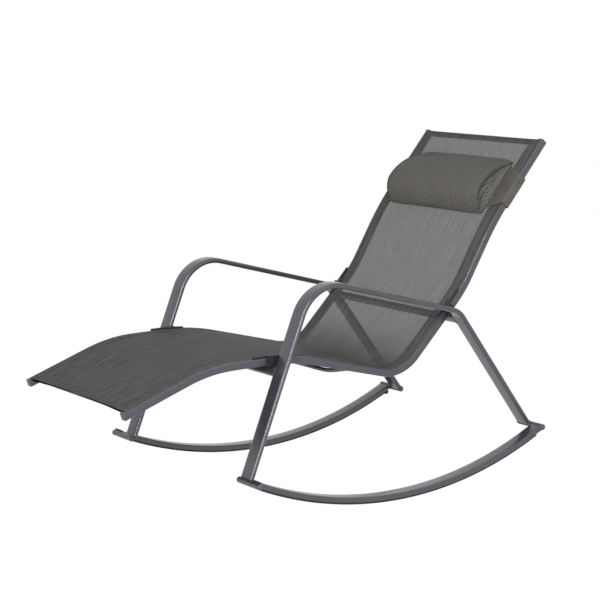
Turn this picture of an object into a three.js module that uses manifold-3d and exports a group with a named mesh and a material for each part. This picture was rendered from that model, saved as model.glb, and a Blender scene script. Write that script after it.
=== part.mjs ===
// Rocking chaise lounge: a mesh sling stretched between two curved rails, carried by two
// armrest loops that stand on a pair of rockers. Millimetres and degrees.
// X runs from the foot end to the head end, Y from the sitter's left to the right, Z up.
import * as THREE from "three";
import { mergeVertices } from "three/addons/utils/BufferGeometryUtils.js";
import Module from "manifold-3d";

const wasm = await Module();
wasm.setup();

// Fits
const gap = 0.3; // between pieces that touch
const overrun = 4; // how far a cutter reaches past what it cuts

// Rocker: an arc under each side, from the front stub to the rear stub
const rockerRadius = 1190; // to the face that meets the floor
const rockerFrontTurn = 23.485;
const rockerRearTurn = 26.248;
const rockerWidth = 42;
const rockerThickness = 15;
const rockerCorner = 5;
const rockerWall = 1.5;
const rockerStep = 3.5;
const rockerRestTurn = 1.75; // to each side of the lowest point, the chair stands on one flat

// Rubber tread under the rocker, and the round stop near its rear end
const treadWidth = 36;
const treadThickness = 4.5;
const treadChamfer = 1.2;
const treadFrontInset = 12;
const treadRearInset = 28;
const stopDiameter = 16;
const stopHeight = 12;
const stopDome = 4;
const stopInset = 16;
const stopFromInnerEdge = 11;

// Stub: a short cross tube that carries a leg on top and a rocker behind it
const stubDiameter = 17;
const stubWall = 1.5;
const stubInset = 4; // outboard of the leg's inner face
const frontStubAhead = 9.5; // of the front leg's foot
const frontStubDrop = 4; // below the rocker's centre line
const rearStubBehind = 1.8; // the rear leg's foot
const plugHead = 3;
const plugDepth = 10;
const plugClearance = 0.4;

// Side loop: front leg, armrest and rear leg bent from one flat oval tube
const railToLoop = 8.5; // sideways, between the rail's outer face and the loop
const loopWidth = 48.5;
const loopThickness = 14.5;
const loopWall = 1.5;
const frontLegSlope = 68.7;
const armFrontX = 200; // corner of the front leg's and the armrest's centre lines
const armFrontRadius = 113;
const armSlope = -14.4;
const armLength = 521; // corner to corner
const frontLegFoot = 106.5; // height of the front leg's foot
const armRearRadius = 68;
const rockerToLoop = 10.5; // sideways, between the loop and the rocker

// Rail: one bent tube each side, with a slot for the sling along its top face
const railSpacing = 484; // between the inner faces
const railWidth = 20;
const railHeight = 21;
const railCorner = 3;
const railWall = 1.5;
const footEndAhead = 345; // of the front leg's foot
const footEndHeight = 322;
const footRise = 19.75;
const footLength = 194.3;
const kneeFrontRadius = 447;
const kneeFrontTurn = -18.61;
const kneeLength = 106.5;
const kneeRearRadius = 635;
const kneeRearTurn = -14.84;
const seatLength = 233.4;
const seatBendRadius = 117;
const seatBendTurn = 59.2;
const lumbarLength = 193.3;
const lumbarRadius = 377;
const lumbarTurn = 13.79;
const shoulderLength = 106.8;
const shoulderRadius = 821;
const shoulderTurn = -9.5;
const headLength = 218.8;
const bendStep = 5;
const tightStep = 15; // for bends of a small radius

// Slot in the rail and the beaded edge of the sling in it
const slotDepth = 4.7; // from the rail's top face to the pocket's middle
const slotInset = 10; // from the rail's inner face to the pocket's middle
const pocketRadius = 3.2;
const mouthWidth = 3;
const beadRadius = 2.6;
const beadBore = 1.8;
const rodRadius = 1.4;

// Sling
const slingThickness = 1;
const hemThickness = 2;
const hemWidth = 22; // inboard of the rail's inner face
const hemTaper = 1;
const sleeveWall = 1.2;

// Cross members
const sleeveTubeDiameter = 8;
const sleeveTubeWall = 1.2;
const footTubeInset = 16;
const headTubeInset = 5;
const crossbarWidth = 27;
const crossbarThickness = 14;
const crossbarWall = 1.5;
const crossbarDrop = 27; // below the clamp's bolt, along the leg
const bowDiameter = 12;
const bowWall = 1.2;
const bowDrop = 25; // its middle hangs this far under its ends
const bowShoulder = 108; // sideways length of each sloping end
const bowBendRadius = 300;
const bowFromKnee = 275; // along the rail from the clamp's bolt to the bow
const bowDepth = 13; // from the rail's top face to the bow's ends

// Rail end plugs
const capFlange = 3;
const capDepth = 12;
const capClearance = 0.4;

// Clamp: bar on top of the rail's outer lip, saddle over the rail at the bolt, and a block
// that fills the width between the rail and the loop
const boltDepth = 12.5; // from the rail's top face to the bolt
const barLength = 60;
const barWidth = 6.5;
const barThickness = 6;
const barFromOuter = 2; // from the rail's outer face
const saddleHalfLength = 10;
const saddleFoot = 2.6; // how far the foot reaches under the rail
const saddleFootThickness = 2.2;
const frontBlockLength = 30; // from the bolt
const rearBlockLength = 18;
const boltDiameter = 6;
const boltClearance = 0.4;
const boltHeadDiameter = 10;
const boltHeadHeight = 3;
const boltEngagement = 7; // inside the loop

// Headrest: half-round pillow on a wide band that wraps both rails
const pillowLength = 410;
const pillowHeight = 200;
const pillowDepth = 61;
const pillowFromHead = 80; // from the rail's head end to the pillow's top edge
const pillowCrownShare = 0.32; // height of the fullest line, from the bottom
const pillowLeanShare = 1.5; // how much flatter than an ellipse its long slope is
const pillowEndShare = 0.86; // size of the end panels against the middle
const pillowEndRound = 34;
const bandMiddleFromHead = 180;
const bandWideHeight = 158; // at the pillow
const bandNarrowHeight = 102; // round the rails
const bandThick = 1.8;
const bandBackClearance = 5;
const bandSideClearance = 1;
const bandCorner = 4;

const steel = { color: 0x54535a, roughness: 0.45, metalness: 0.6 };
const plastic = { color: 0x1e1c20, roughness: 0.5, metalness: 0 };
const greyPlastic = { color: 0x3c3a42, roughness: 0.5, metalness: 0 };
const rubber = { color: 0x18181a, roughness: 0.8, metalness: 0 };
const mesh = { color: 0x605e5a, roughness: 0.9, metalness: 0 };
const padded = { color: 0x5c5a54, roughness: 0.9, metalness: 0 };
const zinc = { color: 0x9a9a9c, roughness: 0.35, metalness: 0.9 };

const group = new THREE.Group();
const rad = THREE.MathUtils.degToRad;

function add(name, geometry, look) {
  const piece = new THREE.Mesh(geometry, new THREE.MeshStandardMaterial(look));
  piece.name = name;
  group.add(piece);
  return piece;
}

// Solids: joining and cutting

function solid(geometry) {
  const bare = geometry.clone();
  bare.deleteAttribute("normal");
  bare.deleteAttribute("uv");
  const merged = mergeVertices(bare);
  const vertProperties = merged.getAttribute("position").array;
  const triVerts = new Uint32Array(merged.index.array);
  return new wasm.Manifold(new wasm.Mesh({ numProp: 3, vertProperties, triVerts }));
}

function geometryOf(body) {
  const { vertProperties, triVerts } = body.getMesh();
  const geometry = new THREE.BufferGeometry();
  geometry.setAttribute("position", new THREE.BufferAttribute(vertProperties, 3));
  geometry.setIndex(new THREE.BufferAttribute(triVerts, 1));
  return geometry;
}

const cut = (geometry, ...cutters) =>
  geometryOf(cutters.reduce((body, cutter) => body.subtract(solid(cutter)), solid(geometry)));

const join = (...geometries) => geometryOf(geometries.map(solid).reduce((a, b) => a.add(b)));

// Routes in the XZ plane: stations with a place, a normal and a distance along

function station(x, z, slope) {
  return { x, z, nx: -Math.sin(slope), nz: Math.cos(slope) };
}

function measured(stations) {
  let s = 0;
  stations.forEach((here, k) => {
    if (k) s += Math.hypot(here.x - stations[k - 1].x, here.z - stations[k - 1].z);
    here.s = s;
  });
  return stations;
}

// Straight runs and round bends from a start point, as { run } and { radius, turn }
function route(x, z, slope, pieces, step = bendStep) {
  const stations = [station(x, z, slope)];
  for (const { run = 0, radius = 0, turn = 0 } of pieces) {
    if (run) {
      x += run * Math.cos(slope);
      z += run * Math.sin(slope);
      stations.push(station(x, z, slope));
    }
    if (turn) {
      const reach = radius * Math.sign(turn);
      const centreX = x - reach * Math.sin(slope);
      const centreZ = z + reach * Math.cos(slope);
      const steps = Math.ceil(Math.abs(turn) / step);
      for (let k = 1; k <= steps; k++) {
        const at = slope + rad((turn * k) / steps);
        stations.push(station(centreX + reach * Math.sin(at), centreZ - reach * Math.cos(at), at));
      }
      slope += rad(turn);
      ({ x, z } = stations.at(-1));
    }
  }
  return measured(stations);
}

// A route through corner points, each corner rounded to its radius
function routeThrough(corners, radii, step = bendStep) {
  const slopes = corners.slice(1).map(([x, z], k) => Math.atan2(z - corners[k][1], x - corners[k][0]));
  const lengths = corners.slice(1).map(([x, z], k) => Math.hypot(z - corners[k][1], x - corners[k][0]));
  const turns = radii.map((radius, k) => {
    const turn = slopes[k + 1] - slopes[k];
    return Math.atan2(Math.sin(turn), Math.cos(turn));
  });
  const trims = radii.map((radius, k) => radius * Math.abs(Math.tan(turns[k] / 2)));
  const pieces = lengths.map((length, k) => ({
    run: length - (trims[k - 1] ?? 0) - (trims[k] ?? 0),
    radius: radii[k],
    turn: THREE.MathUtils.radToDeg(turns[k] ?? 0),
  }));
  return route(...corners[0], slopes[0], pieces, step);
}

function along(stations, s) {
  const k = Math.max(1, stations.findIndex((each) => each.s >= s));
  const [a, b] = [stations[k - 1], stations[k]];
  const share = (s - a.s) / (b.s - a.s);
  const mix = (key) => a[key] + (b[key] - a[key]) * share;
  return { x: mix("x"), z: mix("z"), nx: mix("nx"), nz: mix("nz"), s };
}

function between(stations, from, to) {
  const inner = stations.filter(({ s }) => s > from && s < to);
  return [along(stations, from), ...inner, along(stations, to)];
}

const raised = ({ x, z, nx, nz }, height) => [x + nx * height, z + nz * height];

// Where a second route crosses the first one lowered by a depth
function crossing(rails, legs, depth, last = false) {
  const found = [];
  for (let i = 1; i < rails.length; i++) {
    const [px, pz] = raised(rails[i - 1], -depth);
    const [qx, qz] = raised(rails[i], -depth);
    for (let k = 1; k < legs.length; k++) {
      const [a, b] = [legs[k - 1], legs[k]];
      const cross = (qx - px) * (b.z - a.z) - (qz - pz) * (b.x - a.x);
      const t = ((a.x - px) * (b.z - a.z) - (a.z - pz) * (b.x - a.x)) / cross;
      const w = ((a.x - px) * (qz - pz) - (a.z - pz) * (qx - px)) / cross;
      if (t < 0 || t > 1 || w < 0 || w > 1) continue;
      found.push({
        x: px + (qx - px) * t,
        z: pz + (qz - pz) * t,
        alongRail: rails[i - 1].s + (rails[i].s - rails[i - 1].s) * t,
        alongLeg: a.s + (b.s - a.s) * w,
      });
    }
  }
  return last ? found.at(-1) : found[0];
}

// A closed body swept along a route: the outline runs counterclockwise as [across, above],
// holes run clockwise
function sweep(stations, outline, holes = []) {
  const rings = [outline, ...holes];
  const ringPoints = rings.flat();
  const positions = stations.flatMap(({ x, z, nx, nz }) =>
    ringPoints.flatMap(([across, above]) => [x + nx * above, across, z + nz * above]),
  );
  const faces = [];
  for (let k = 1; k < stations.length; k++) {
    let start = (k - 1) * ringPoints.length;
    for (const ring of rings) {
      ring.forEach((point, i) => {
        const a = start + i;
        const b = start + ((i + 1) % ring.length);
        const c = b + ringPoints.length;
        const d = a + ringPoints.length;
        faces.push(a, b, c, a, c, d);
      });
      start += ring.length;
    }
  }
  const flat = rings.map((ring) => ring.map(([across, above]) => new THREE.Vector2(across, above)));
  const lastRing = (stations.length - 1) * ringPoints.length;
  for (const [a, b, c] of THREE.ShapeUtils.triangulateShape(flat[0], flat.slice(1))) {
    faces.push(c, b, a);
    faces.push(lastRing + a, lastRing + b, lastRing + c);
  }
  const geometry = new THREE.BufferGeometry();
  geometry.setAttribute("position", new THREE.Float32BufferAttribute(positions, 3));
  geometry.setIndex(faces);
  return geometry;
}

// Outlines

const reversed = (outline) => [...outline].reverse();
const shifted = (outline, across, above = 0) => outline.map(([a, b]) => [a + across, b + above]);
const mirrored = (outline) => reversed(outline).map(([a, b]) => [-a, b]);
const sided = (side, outline) => (side > 0 ? outline : mirrored(outline));

function arc(centreA, centreB, radius, from, to, steps) {
  return Array.from({ length: steps + 1 }, (_, k) => {
    const at = rad(from + ((to - from) * k) / steps);
    return [centreA + radius * Math.cos(at), centreB + radius * Math.sin(at)];
  });
}

function roundedBox(width, height, corner, steps = 2) {
  const [a, b] = [width / 2 - corner, height / 2 - corner];
  return [
    ...arc(a, -b, corner, -90, 0, steps),
    ...arc(a, b, corner, 0, 90, steps),
    ...arc(-a, b, corner, 90, 180, steps),
    ...arc(-a, -b, corner, 180, 270, steps),
  ];
}

function flatOval(width, thickness, steps = 6) {
  const reach = (width - thickness) / 2;
  return [
    ...arc(reach, 0, thickness / 2, -90, 90, steps),
    ...arc(-reach, 0, thickness / 2, 90, 270, steps),
  ];
}

const disc = (radius, sides) => arc(0, 0, radius, 0, 360, sides).slice(0, -1);

const box = (a0, a1, b0, b1) => [
  [a0, b0],
  [a1, b0],
  [a1, b1],
  [a0, b1],
];

// A round body on an axis along Y, from [radius, y] pairs that start and end on the axis
const turned = (profile, sides = 16) =>
  new THREE.LatheGeometry(profile.map(([r, y]) => new THREE.Vector2(r, y)), sides);

// A cylinder along Y that cuts or fills between two distances from the middle plane
function crossPin(x, z, radius, from, to, sides = 16) {
  const pin = new THREE.CylinderGeometry(radius, radius, to - from, sides);
  return pin.translate(x, (from + to) / 2, z);
}

// A tube that lies across the chair, its [x, z] outline turned to the given slope
function crossTube(x, z, slope, outline, hole, halfLength) {
  const shape = new THREE.Shape(outline.map(([a, b]) => new THREE.Vector2(a, b)));
  shape.holes.push(new THREE.Path(hole.map(([a, b]) => new THREE.Vector2(a, b))));
  const tube = new THREE.ExtrudeGeometry(shape, { depth: 2 * halfLength, bevelEnabled: false });
  tube.translate(0, 0, -halfLength);
  tube.rotateX(Math.PI / 2);
  tube.rotateY(-slope);
  return tube.translate(x, 0, z);
}

// Main lines, with X measured from the front leg's foot

const rockerLine = rockerRadius - treadThickness - gap - rockerThickness / 2;
const rockerEnd = (x, turn) => [x, rockerRadius - rockerLine * Math.cos(rad(turn))];
const rockerFront = rockerEnd(-frontStubAhead, rockerFrontTurn);
const arcCentreX = rockerFront[0] + rockerLine * Math.sin(rad(rockerFrontTurn));
const rearStub = rockerEnd(arcCentreX + rockerLine * Math.sin(rad(rockerRearTurn)), rockerRearTurn);
const frontStub = [rockerFront[0], rockerFront[1] - frontStubDrop];
const rockerRoute = route(
  ...rockerFront,
  -rad(rockerFrontTurn),
  [rockerFrontTurn - rockerRestTurn, 2 * rockerRestTurn, rockerRearTurn - rockerRestTurn].map(
    (turn) => ({ radius: rockerLine, turn }),
  ),
  rockerStep,
);
const armFront = [armFrontX, frontLegFoot + armFrontX * Math.tan(rad(frontLegSlope))];
const armRear = [
  armFront[0] + armLength * Math.cos(rad(armSlope)),
  armFront[1] + armLength * Math.sin(rad(armSlope)),
];
const legFeet = [
  [0, frontLegFoot],
  [rearStub[0] - rearStubBehind, rearStub[1]],
];
const loopRoute = routeThrough([legFeet[0], armFront, armRear, legFeet[1]], [armFrontRadius, armRearRadius]);
const railRoute = route(-footEndAhead, footEndHeight, rad(footRise), [
  { run: footLength, radius: kneeFrontRadius, turn: kneeFrontTurn },
  { run: kneeLength, radius: kneeRearRadius, turn: kneeRearTurn },
  { run: seatLength, radius: seatBendRadius, turn: seatBendTurn },
  { run: lumbarLength, radius: lumbarRadius, turn: lumbarTurn },
  { run: shoulderLength, radius: shoulderRadius, turn: shoulderTurn },
  { run: headLength },
]);
const railLength = railRoute.at(-1).s;
const railInner = railSpacing / 2;
const railOuter = railInner + railWidth;
const slotMiddle = railInner + slotInset;
const loopInner = railOuter + railToLoop;
const loopMiddle = loopInner + loopWidth / 2;
const rockerInner = loopInner + loopWidth + rockerToLoop;
const rockerMiddle = rockerInner + rockerWidth / 2;
const frontBolt = crossing(railRoute, loopRoute, boltDepth);
const rearBolt = crossing(railRoute, loopRoute, boltDepth, true);

// Rockers, treads and stops

function rocker(side) {
  const at = side * rockerMiddle;
  const outline = roundedBox(rockerWidth, rockerThickness, rockerCorner);
  const bore = roundedBox(
    rockerWidth - 2 * rockerWall,
    rockerThickness - 2 * rockerWall,
    rockerCorner - rockerWall,
  );
  const tube = sweep(rockerRoute, shifted(outline, at), [shifted(reversed(bore), at)]);
  const seats = [frontStub, rearStub].map(([x, z]) =>
    crossPin(x, z, stubDiameter / 2 + gap, at - rockerWidth, at + rockerWidth),
  );
  return cut(tube, ...seats);
}

function tread(side) {
  const top = -rockerThickness / 2 - gap;
  const bottom = top - treadThickness;
  const edge = treadWidth / 2;
  const outline = [
    [-edge + treadChamfer, bottom],
    [edge - treadChamfer, bottom],
    [edge, bottom + treadChamfer],
    [edge, top],
    [-edge, top],
    [-edge, bottom + treadChamfer],
  ];
  const stretch = between(rockerRoute, treadFrontInset, rockerRoute.at(-1).s - treadRearInset);
  return sweep(stretch, shifted(outline, side * rockerMiddle));
}

function stop(side) {
  const radius = stopDiameter / 2;
  const body = turned([
    [0, 0],
    [radius, 0],
    [radius, stopHeight - stopDome],
    ...arc(radius - stopDome, stopHeight - stopDome, stopDome, 30, 90, 2),
    [0, stopHeight],
  ]);
  const seat = along(rockerRoute, rockerRoute.at(-1).s - stopInset);
  const [x, z] = raised(seat, -rockerThickness / 2 - gap);
  body.rotateX(-Math.PI / 2);
  body.rotateY(-Math.atan2(-seat.nx, seat.nz));
  return body.translate(x, side * (rockerInner + stopFromInnerEdge), z);
}

// Stubs and their end plugs

const stubFrom = loopInner + stubInset;
const stubTo = rockerInner + rockerWidth;

function stub(side, [x, z]) {
  const half = (stubTo - stubFrom) / 2;
  const [outer, inner] = [stubDiameter / 2, stubDiameter / 2 - stubWall];
  const tube = turned([
    [inner, -half],
    [outer, -half],
    [outer, half],
    [inner, half],
    [inner, -half],
  ]);
  return tube.translate(x, (side * (stubFrom + stubTo)) / 2, z);
}

// outward is 1 at the stub's outer end and -1 at the end under the chair
function stubPlug(side, [x, z], outward) {
  const head = stubDiameter / 2;
  const spigot = head - stubWall - plugClearance;
  const dome = arc(head - plugHead, gap, plugHead, 0, 90, 2);
  const plug = turned([[0, -plugDepth], [spigot, -plugDepth], [spigot, gap], ...dome, [0, gap + plugHead]]);
  if (side * outward < 0) plug.rotateX(Math.PI);
  return plug.translate(x, side * (outward < 0 ? stubFrom : stubTo), z);
}

// Side loops, cut to the stubs and drilled for the clamp bolts

function loop(side) {
  const at = side * loopMiddle;
  const outline = flatOval(loopWidth, loopThickness);
  const bore = flatOval(loopWidth - 2 * loopWall, loopThickness - 2 * loopWall);
  const tube = sweep(loopRoute, shifted(outline, at), [shifted(reversed(bore), at)]);
  const seats = [frontStub, rearStub].map(([x, z]) =>
    crossPin(x, z, stubDiameter / 2 + gap, at - loopWidth, at + loopWidth),
  );
  const holes = [frontBolt, rearBolt].map(({ x, z }) => boltHole(side, x, z));
  return cut(tube, ...seats, ...holes);
}

// Rails

function railOutline() {
  const lip = THREE.MathUtils.radToDeg(Math.asin(mouthWidth / 2 / pocketRadius));
  const [low, high] = [-railHeight + railCorner, -railCorner];
  const [near, far] = [railInner + railCorner, railOuter - railCorner];
  return [
    ...arc(near, low, railCorner, 180, 270, 2),
    ...arc(far, low, railCorner, -90, 0, 2),
    ...arc(far, high, railCorner, 0, 90, 2),
    [slotMiddle + mouthWidth / 2, 0],
    ...arc(slotMiddle, -slotDepth, pocketRadius, 90 - lip, lip - 270, 7),
    [slotMiddle - mouthWidth / 2, 0],
    ...arc(near, high, railCorner, 90, 180, 2),
  ];
}

// The hollow below the slot's pocket and on both sides of it
const pocketReach = pocketRadius + railWall;
const hollowTop = -slotDepth - pocketReach;

function railBore() {
  const [left, right] = [slotMiddle - pocketReach, slotMiddle + pocketReach];
  const [near, far] = [railInner + railWall, railOuter - railWall];
  const [low, high] = [-railHeight + railWall, -railWall];
  return [
    [near, low],
    [near, high],
    [left, high],
    [left, hollowTop],
    [right, hollowTop],
    [right, high],
    [far, high],
    [far, low],
  ];
}

function rail(side) {
  const tube = sweep(railRoute, sided(side, railOutline()), [sided(side, railBore())]);
  return cut(tube, ...[frontBolt, rearBolt].map(({ x, z }) => boltHole(side, x, z)));
}

// End plug: a flange with the rail's outline and a tongue in its hollow
function railCap(side, end) {
  const here = end < 0 ? railRoute[0] : railRoute.at(-1);
  const slope = Math.atan2(-here.nx, here.nz);
  const stretch = (from, to) =>
    (end < 0 ? [-to, -from] : [from, to]).map((reach) => ({
      ...here,
      x: here.x + reach * Math.cos(slope),
      z: here.z + reach * Math.sin(slope),
    }));
  const flange = shifted(
    roundedBox(railWidth, railHeight, railCorner),
    side * (railInner + railWidth / 2),
    -railHeight / 2,
  );
  const tongue = box(
    railInner + railWall + capClearance,
    railOuter - railWall - capClearance,
    -railHeight + railWall + capClearance,
    hollowTop - capClearance,
  );
  return join(
    sweep(stretch(gap, gap + capFlange), flange),
    sweep(stretch(-capDepth, gap + capFlange / 2), sided(side, tongue)),
  );
}

// Sling: one panel with thicker side hems that lie over the rails and turn down into their
// slots, a bead along each edge and a sleeve at each end

const clothHeight = gap + hemThickness / 2; // its middle, above the rail's top face
const sleeveRadius = sleeveTubeDiameter / 2 + gap + sleeveWall;
const sleeveDepth = sleeveRadius - clothHeight - slingThickness / 2;

function slingOutline() {
  const [thin, thick] = [slingThickness / 2, hemThickness / 2];
  const hem = railInner - hemWidth;
  const neck = THREE.MathUtils.radToDeg(Math.asin(thick / beadRadius));
  const right = [
    [hem, clothHeight - thin],
    [hem + hemTaper, clothHeight - thick],
    [slotMiddle - thick, clothHeight - thick],
    ...arc(slotMiddle, -slotDepth, beadRadius, 90 + neck, 450 - neck, 6),
    ...arc(slotMiddle - thick, clothHeight - thick, hemThickness, 0, 90, 3),
    [hem + hemTaper, clothHeight + thick],
    [hem, clothHeight + thin],
  ];
  return [...right, ...mirrored(right)];
}

function sleeve(inset) {
  const here = along(railRoute, inset);
  const [x, z] = raised(here, -sleeveDepth);
  const bore = reversed(disc(sleeveRadius - sleeveWall, 16));
  return crossTube(x, z, 0, disc(sleeveRadius, 16), bore, railInner - gap);
}

function sling() {
  const bead = shifted(disc(beadBore, 5), slotMiddle, -slotDepth);
  const panel = sweep(between(railRoute, footTubeInset, railLength - headTubeInset), slingOutline(), [
    reversed(bead),
    reversed(mirrored(bead)),
  ]);
  const bores = [footTubeInset, railLength - headTubeInset].map((inset) => {
    const [x, z] = raised(along(railRoute, inset), -sleeveDepth);
    return crossPin(x, z, sleeveRadius - sleeveWall, gap - railInner, railInner - gap);
  });
  return cut(join(panel, sleeve(footTubeInset), sleeve(railLength - headTubeInset)), ...bores);
}

function kederRod(side) {
  const section = shifted(disc(rodRadius, 5), slotMiddle, -slotDepth);
  const stretch = between(railRoute, footTubeInset, railLength - headTubeInset);
  return sweep(stretch, sided(side, section));
}

// Tubes across the chair

function sleeveTube(inset) {
  const [x, z] = raised(along(railRoute, inset), -sleeveDepth);
  const radius = sleeveTubeDiameter / 2;
  const bore = reversed(disc(radius - sleeveTubeWall, 16));
  return crossTube(x, z, 0, disc(radius, 16), bore, railInner - gap);
}

function crossbar(bolt, down) {
  const here = along(loopRoute, bolt.alongLeg + down * crossbarDrop);
  const outline = flatOval(crossbarWidth, crossbarThickness);
  const bore = flatOval(crossbarWidth - 2 * crossbarWall, crossbarThickness - 2 * crossbarWall);
  return crossTube(
    here.x,
    here.z,
    Math.atan2(-here.nx, here.nz),
    outline,
    reversed(bore),
    loopInner - gap,
  );
}

// Bowed spreader under the seat: its ends meet the rails, its middle hangs lower
function bowSpreader() {
  const here = along(railRoute, frontBolt.alongRail + bowFromKnee);
  const [x, z] = raised(here, -bowDepth);
  const end = railInner - gap;
  const rise = (overrun * bowDrop) / bowShoulder;
  const line = routeThrough(
    [
      [-end - overrun, rise],
      [-end + bowShoulder, -bowDrop],
      [end - bowShoulder, -bowDrop],
      [end + overrun, rise],
    ],
    [bowBendRadius, bowBendRadius],
  );
  const radius = bowDiameter / 2;
  const tube = sweep(line, disc(radius, 10), [reversed(disc(radius - bowWall, 10))]);
  const ends = [-1, 1].map((side) =>
    new THREE.BoxGeometry(bowDiameter, 2 * bowDiameter, 2 * bowDiameter).translate(
      side * (end + bowDiameter / 2),
      0,
      0,
    ),
  );
  return cut(tube, ...ends)
    .rotateZ(Math.PI / 2)
    .translate(x, 0, z);
}

// Clamps and bolts

function boltHole(side, x, z) {
  const radius = boltDiameter / 2 + boltClearance;
  const [from, to] = [railInner - overrun, loopInner + loopWall + overrun];
  return crossPin(x, z, radius, Math.min(side * from, side * to), Math.max(side * from, side * to), 12);
}

function clamp(side, bolt, towards, blockLength) {
  const stretch = (from, to) => {
    const ends = [bolt.alongRail + towards * from, bolt.alongRail + towards * to];
    return between(railRoute, Math.min(...ends), Math.max(...ends));
  };
  const outer = railOuter + gap;
  const reach = loopInner - gap;
  const top = gap + barThickness;
  const foot = -railHeight - gap - saddleFootThickness;
  const barOuter = railOuter - barFromOuter;
  const bar = box(barOuter - barWidth, barOuter, gap, top);
  const block = box(outer, reach, foot, top);
  const saddle = [
    [outer - saddleFoot, foot],
    [reach, foot],
    [reach, top],
    [barOuter - barWidth, top],
    [barOuter - barWidth, gap],
    [outer, gap],
    [outer, -railHeight - gap],
    [outer - saddleFoot, -railHeight - gap],
  ];
  const body = join(
    sweep(stretch(0, saddleHalfLength + barLength), sided(side, bar)),
    sweep(stretch(-saddleHalfLength, saddleHalfLength), sided(side, saddle)),
    sweep(stretch(-saddleHalfLength, blockLength), sided(side, block)),
  );
  return cut(body, boltHole(side, bolt.x, bolt.z));
}

function clampBolt(side, { x, z }) {
  const head = boltHeadDiameter / 2;
  const shank = boltDiameter / 2;
  const length = loopInner + boltEngagement - railInner;
  const profile = [
    [0, -boltHeadHeight - gap],
    [head / 2, -boltHeadHeight - gap],
    [head, -boltHeadHeight / 2 - gap],
    [head, -gap],
    [shank, -gap],
    [shank, length],
    [0, length],
  ];
  const bolt = turned(profile, 12);
  if (side < 0) bolt.rotateX(Math.PI);
  return bolt.translate(x, side * railInner, z);
}

// Headrest

const headEnd = railRoute.at(-1);
const headSlope = Math.atan2(-headEnd.nx, headEnd.nz);

// Turns a body drawn with x up the back and z off its face to its place at the rails' head end
const ontoBack = (geometry, fromHead, off) =>
  geometry
    .translate(-fromHead, 0, off)
    .rotateY(-headSlope)
    .translate(headEnd.x, 0, headEnd.z);

// Half-round profile, fullest low down, drawn in at both ends
function pillow() {
  const crown = pillowHeight * pillowCrownShare;
  const half = pillowLength / 2;
  const steps = 7;
  const back = [
    [-pillowHeight, 0],
    [0, 0],
  ];
  const front = Array.from({ length: 2 * steps - 1 }, (_, k) => {
    const at = (Math.PI * (k + 1)) / (2 * steps);
    const up = Math.cos(at) > 0 ? pillowHeight - crown : crown;
    const fullness = Math.sin(at) ** (Math.cos(at) > 0 ? pillowLeanShare : 1);
    return [-pillowHeight + crown + up * Math.cos(at), pillowDepth * fullness];
  });
  const outline = [...back, ...front];
  const ends = [0, 1, 2, 3].map((k) => {
    const at = (Math.PI / 2) * (k / 3);
    const share = pillowEndShare + (1 - pillowEndShare) * Math.sin(at);
    return { y: half - pillowEndRound * (1 - Math.cos(at)), share };
  });
  const places = [...ends.map(({ y, share }) => ({ y: -y, share })), ...[...ends].reverse()];
  const positions = places.flatMap(({ y, share }) =>
    outline.flatMap(([up, off]) => {
      const middle = -pillowHeight + crown;
      return [middle + (up - middle) * share, y, off * share];
    }),
  );
  const faces = [];
  const count = outline.length;
  for (let k = 1; k < places.length; k++) {
    outline.forEach((point, i) => {
      const a = (k - 1) * count + i;
      const b = (k - 1) * count + ((i + 1) % count);
      faces.push(a, a + count, b + count, a, b + count, b);
    });
  }
  const flat = outline.map(([up, off]) => new THREE.Vector2(up, off));
  const last = (places.length - 1) * count;
  for (const [a, b, c] of THREE.ShapeUtils.triangulateShape(flat, [])) {
    faces.push(a, b, c);
    faces.push(last + c, last + b, last + a);
  }
  const geometry = new THREE.BufferGeometry();
  geometry.setAttribute("position", new THREE.Float32BufferAttribute(positions, 3));
  geometry.setIndex(faces);
  return ontoBack(geometry, pillowFromHead, clothHeight + slingThickness / 2 + gap);
}

// Band: from the pillow's ends out over the rails, where it narrows, down their outer faces
// and across the back
function band() {
  const outer = railOuter + bandSideClearance + bandThick / 2;
  const front = clothHeight + hemThickness / 2 + gap + bandThick / 2;
  const back = -railHeight - bandBackClearance - bandThick / 2;
  const from = pillowLength / 2 + gap;
  const line = routeThrough(
    [
      [from, front],
      [outer, front],
      [outer, back],
      [-outer, back],
      [-outer, front],
      [-from, front],
    ],
    [bandCorner, bandCorner, bandCorner, bandCorner],
    tightStep,
  );
  const narrowed = outer - bandCorner - from;
  const length = line.at(-1).s;
  const positions = line.flatMap((here) => {
    const share = Math.min(1, here.s / narrowed, (length - here.s) / narrowed);
    const half = THREE.MathUtils.lerp(bandWideHeight, bandNarrowHeight, share) / 2;
    const outside = raised(here, -bandThick / 2);
    const inside = raised(here, bandThick / 2);
    return [
      [-half, ...outside],
      [half, ...outside],
      [half, ...inside],
      [-half, ...inside],
    ].flat();
  });
  const count = 4;
  const faces = [];
  for (let k = 1; k < line.length; k++) {
    for (let i = 0; i < count; i++) {
      const [a, b] = [(k - 1) * count + i, (k - 1) * count + ((i + 1) % count)];
      faces.push(a, b + count, b, a, a + count, b + count);
    }
  }
  const last = (line.length - 1) * count;
  faces.push(0, 1, 2, 0, 2, 3, last, last + 2, last + 1, last, last + 3, last + 2);
  const geometry = new THREE.BufferGeometry();
  geometry.setAttribute("position", new THREE.Float32BufferAttribute(positions, 3));
  geometry.setIndex(faces);
  return ontoBack(geometry, bandMiddleFromHead, 0);
}

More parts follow.
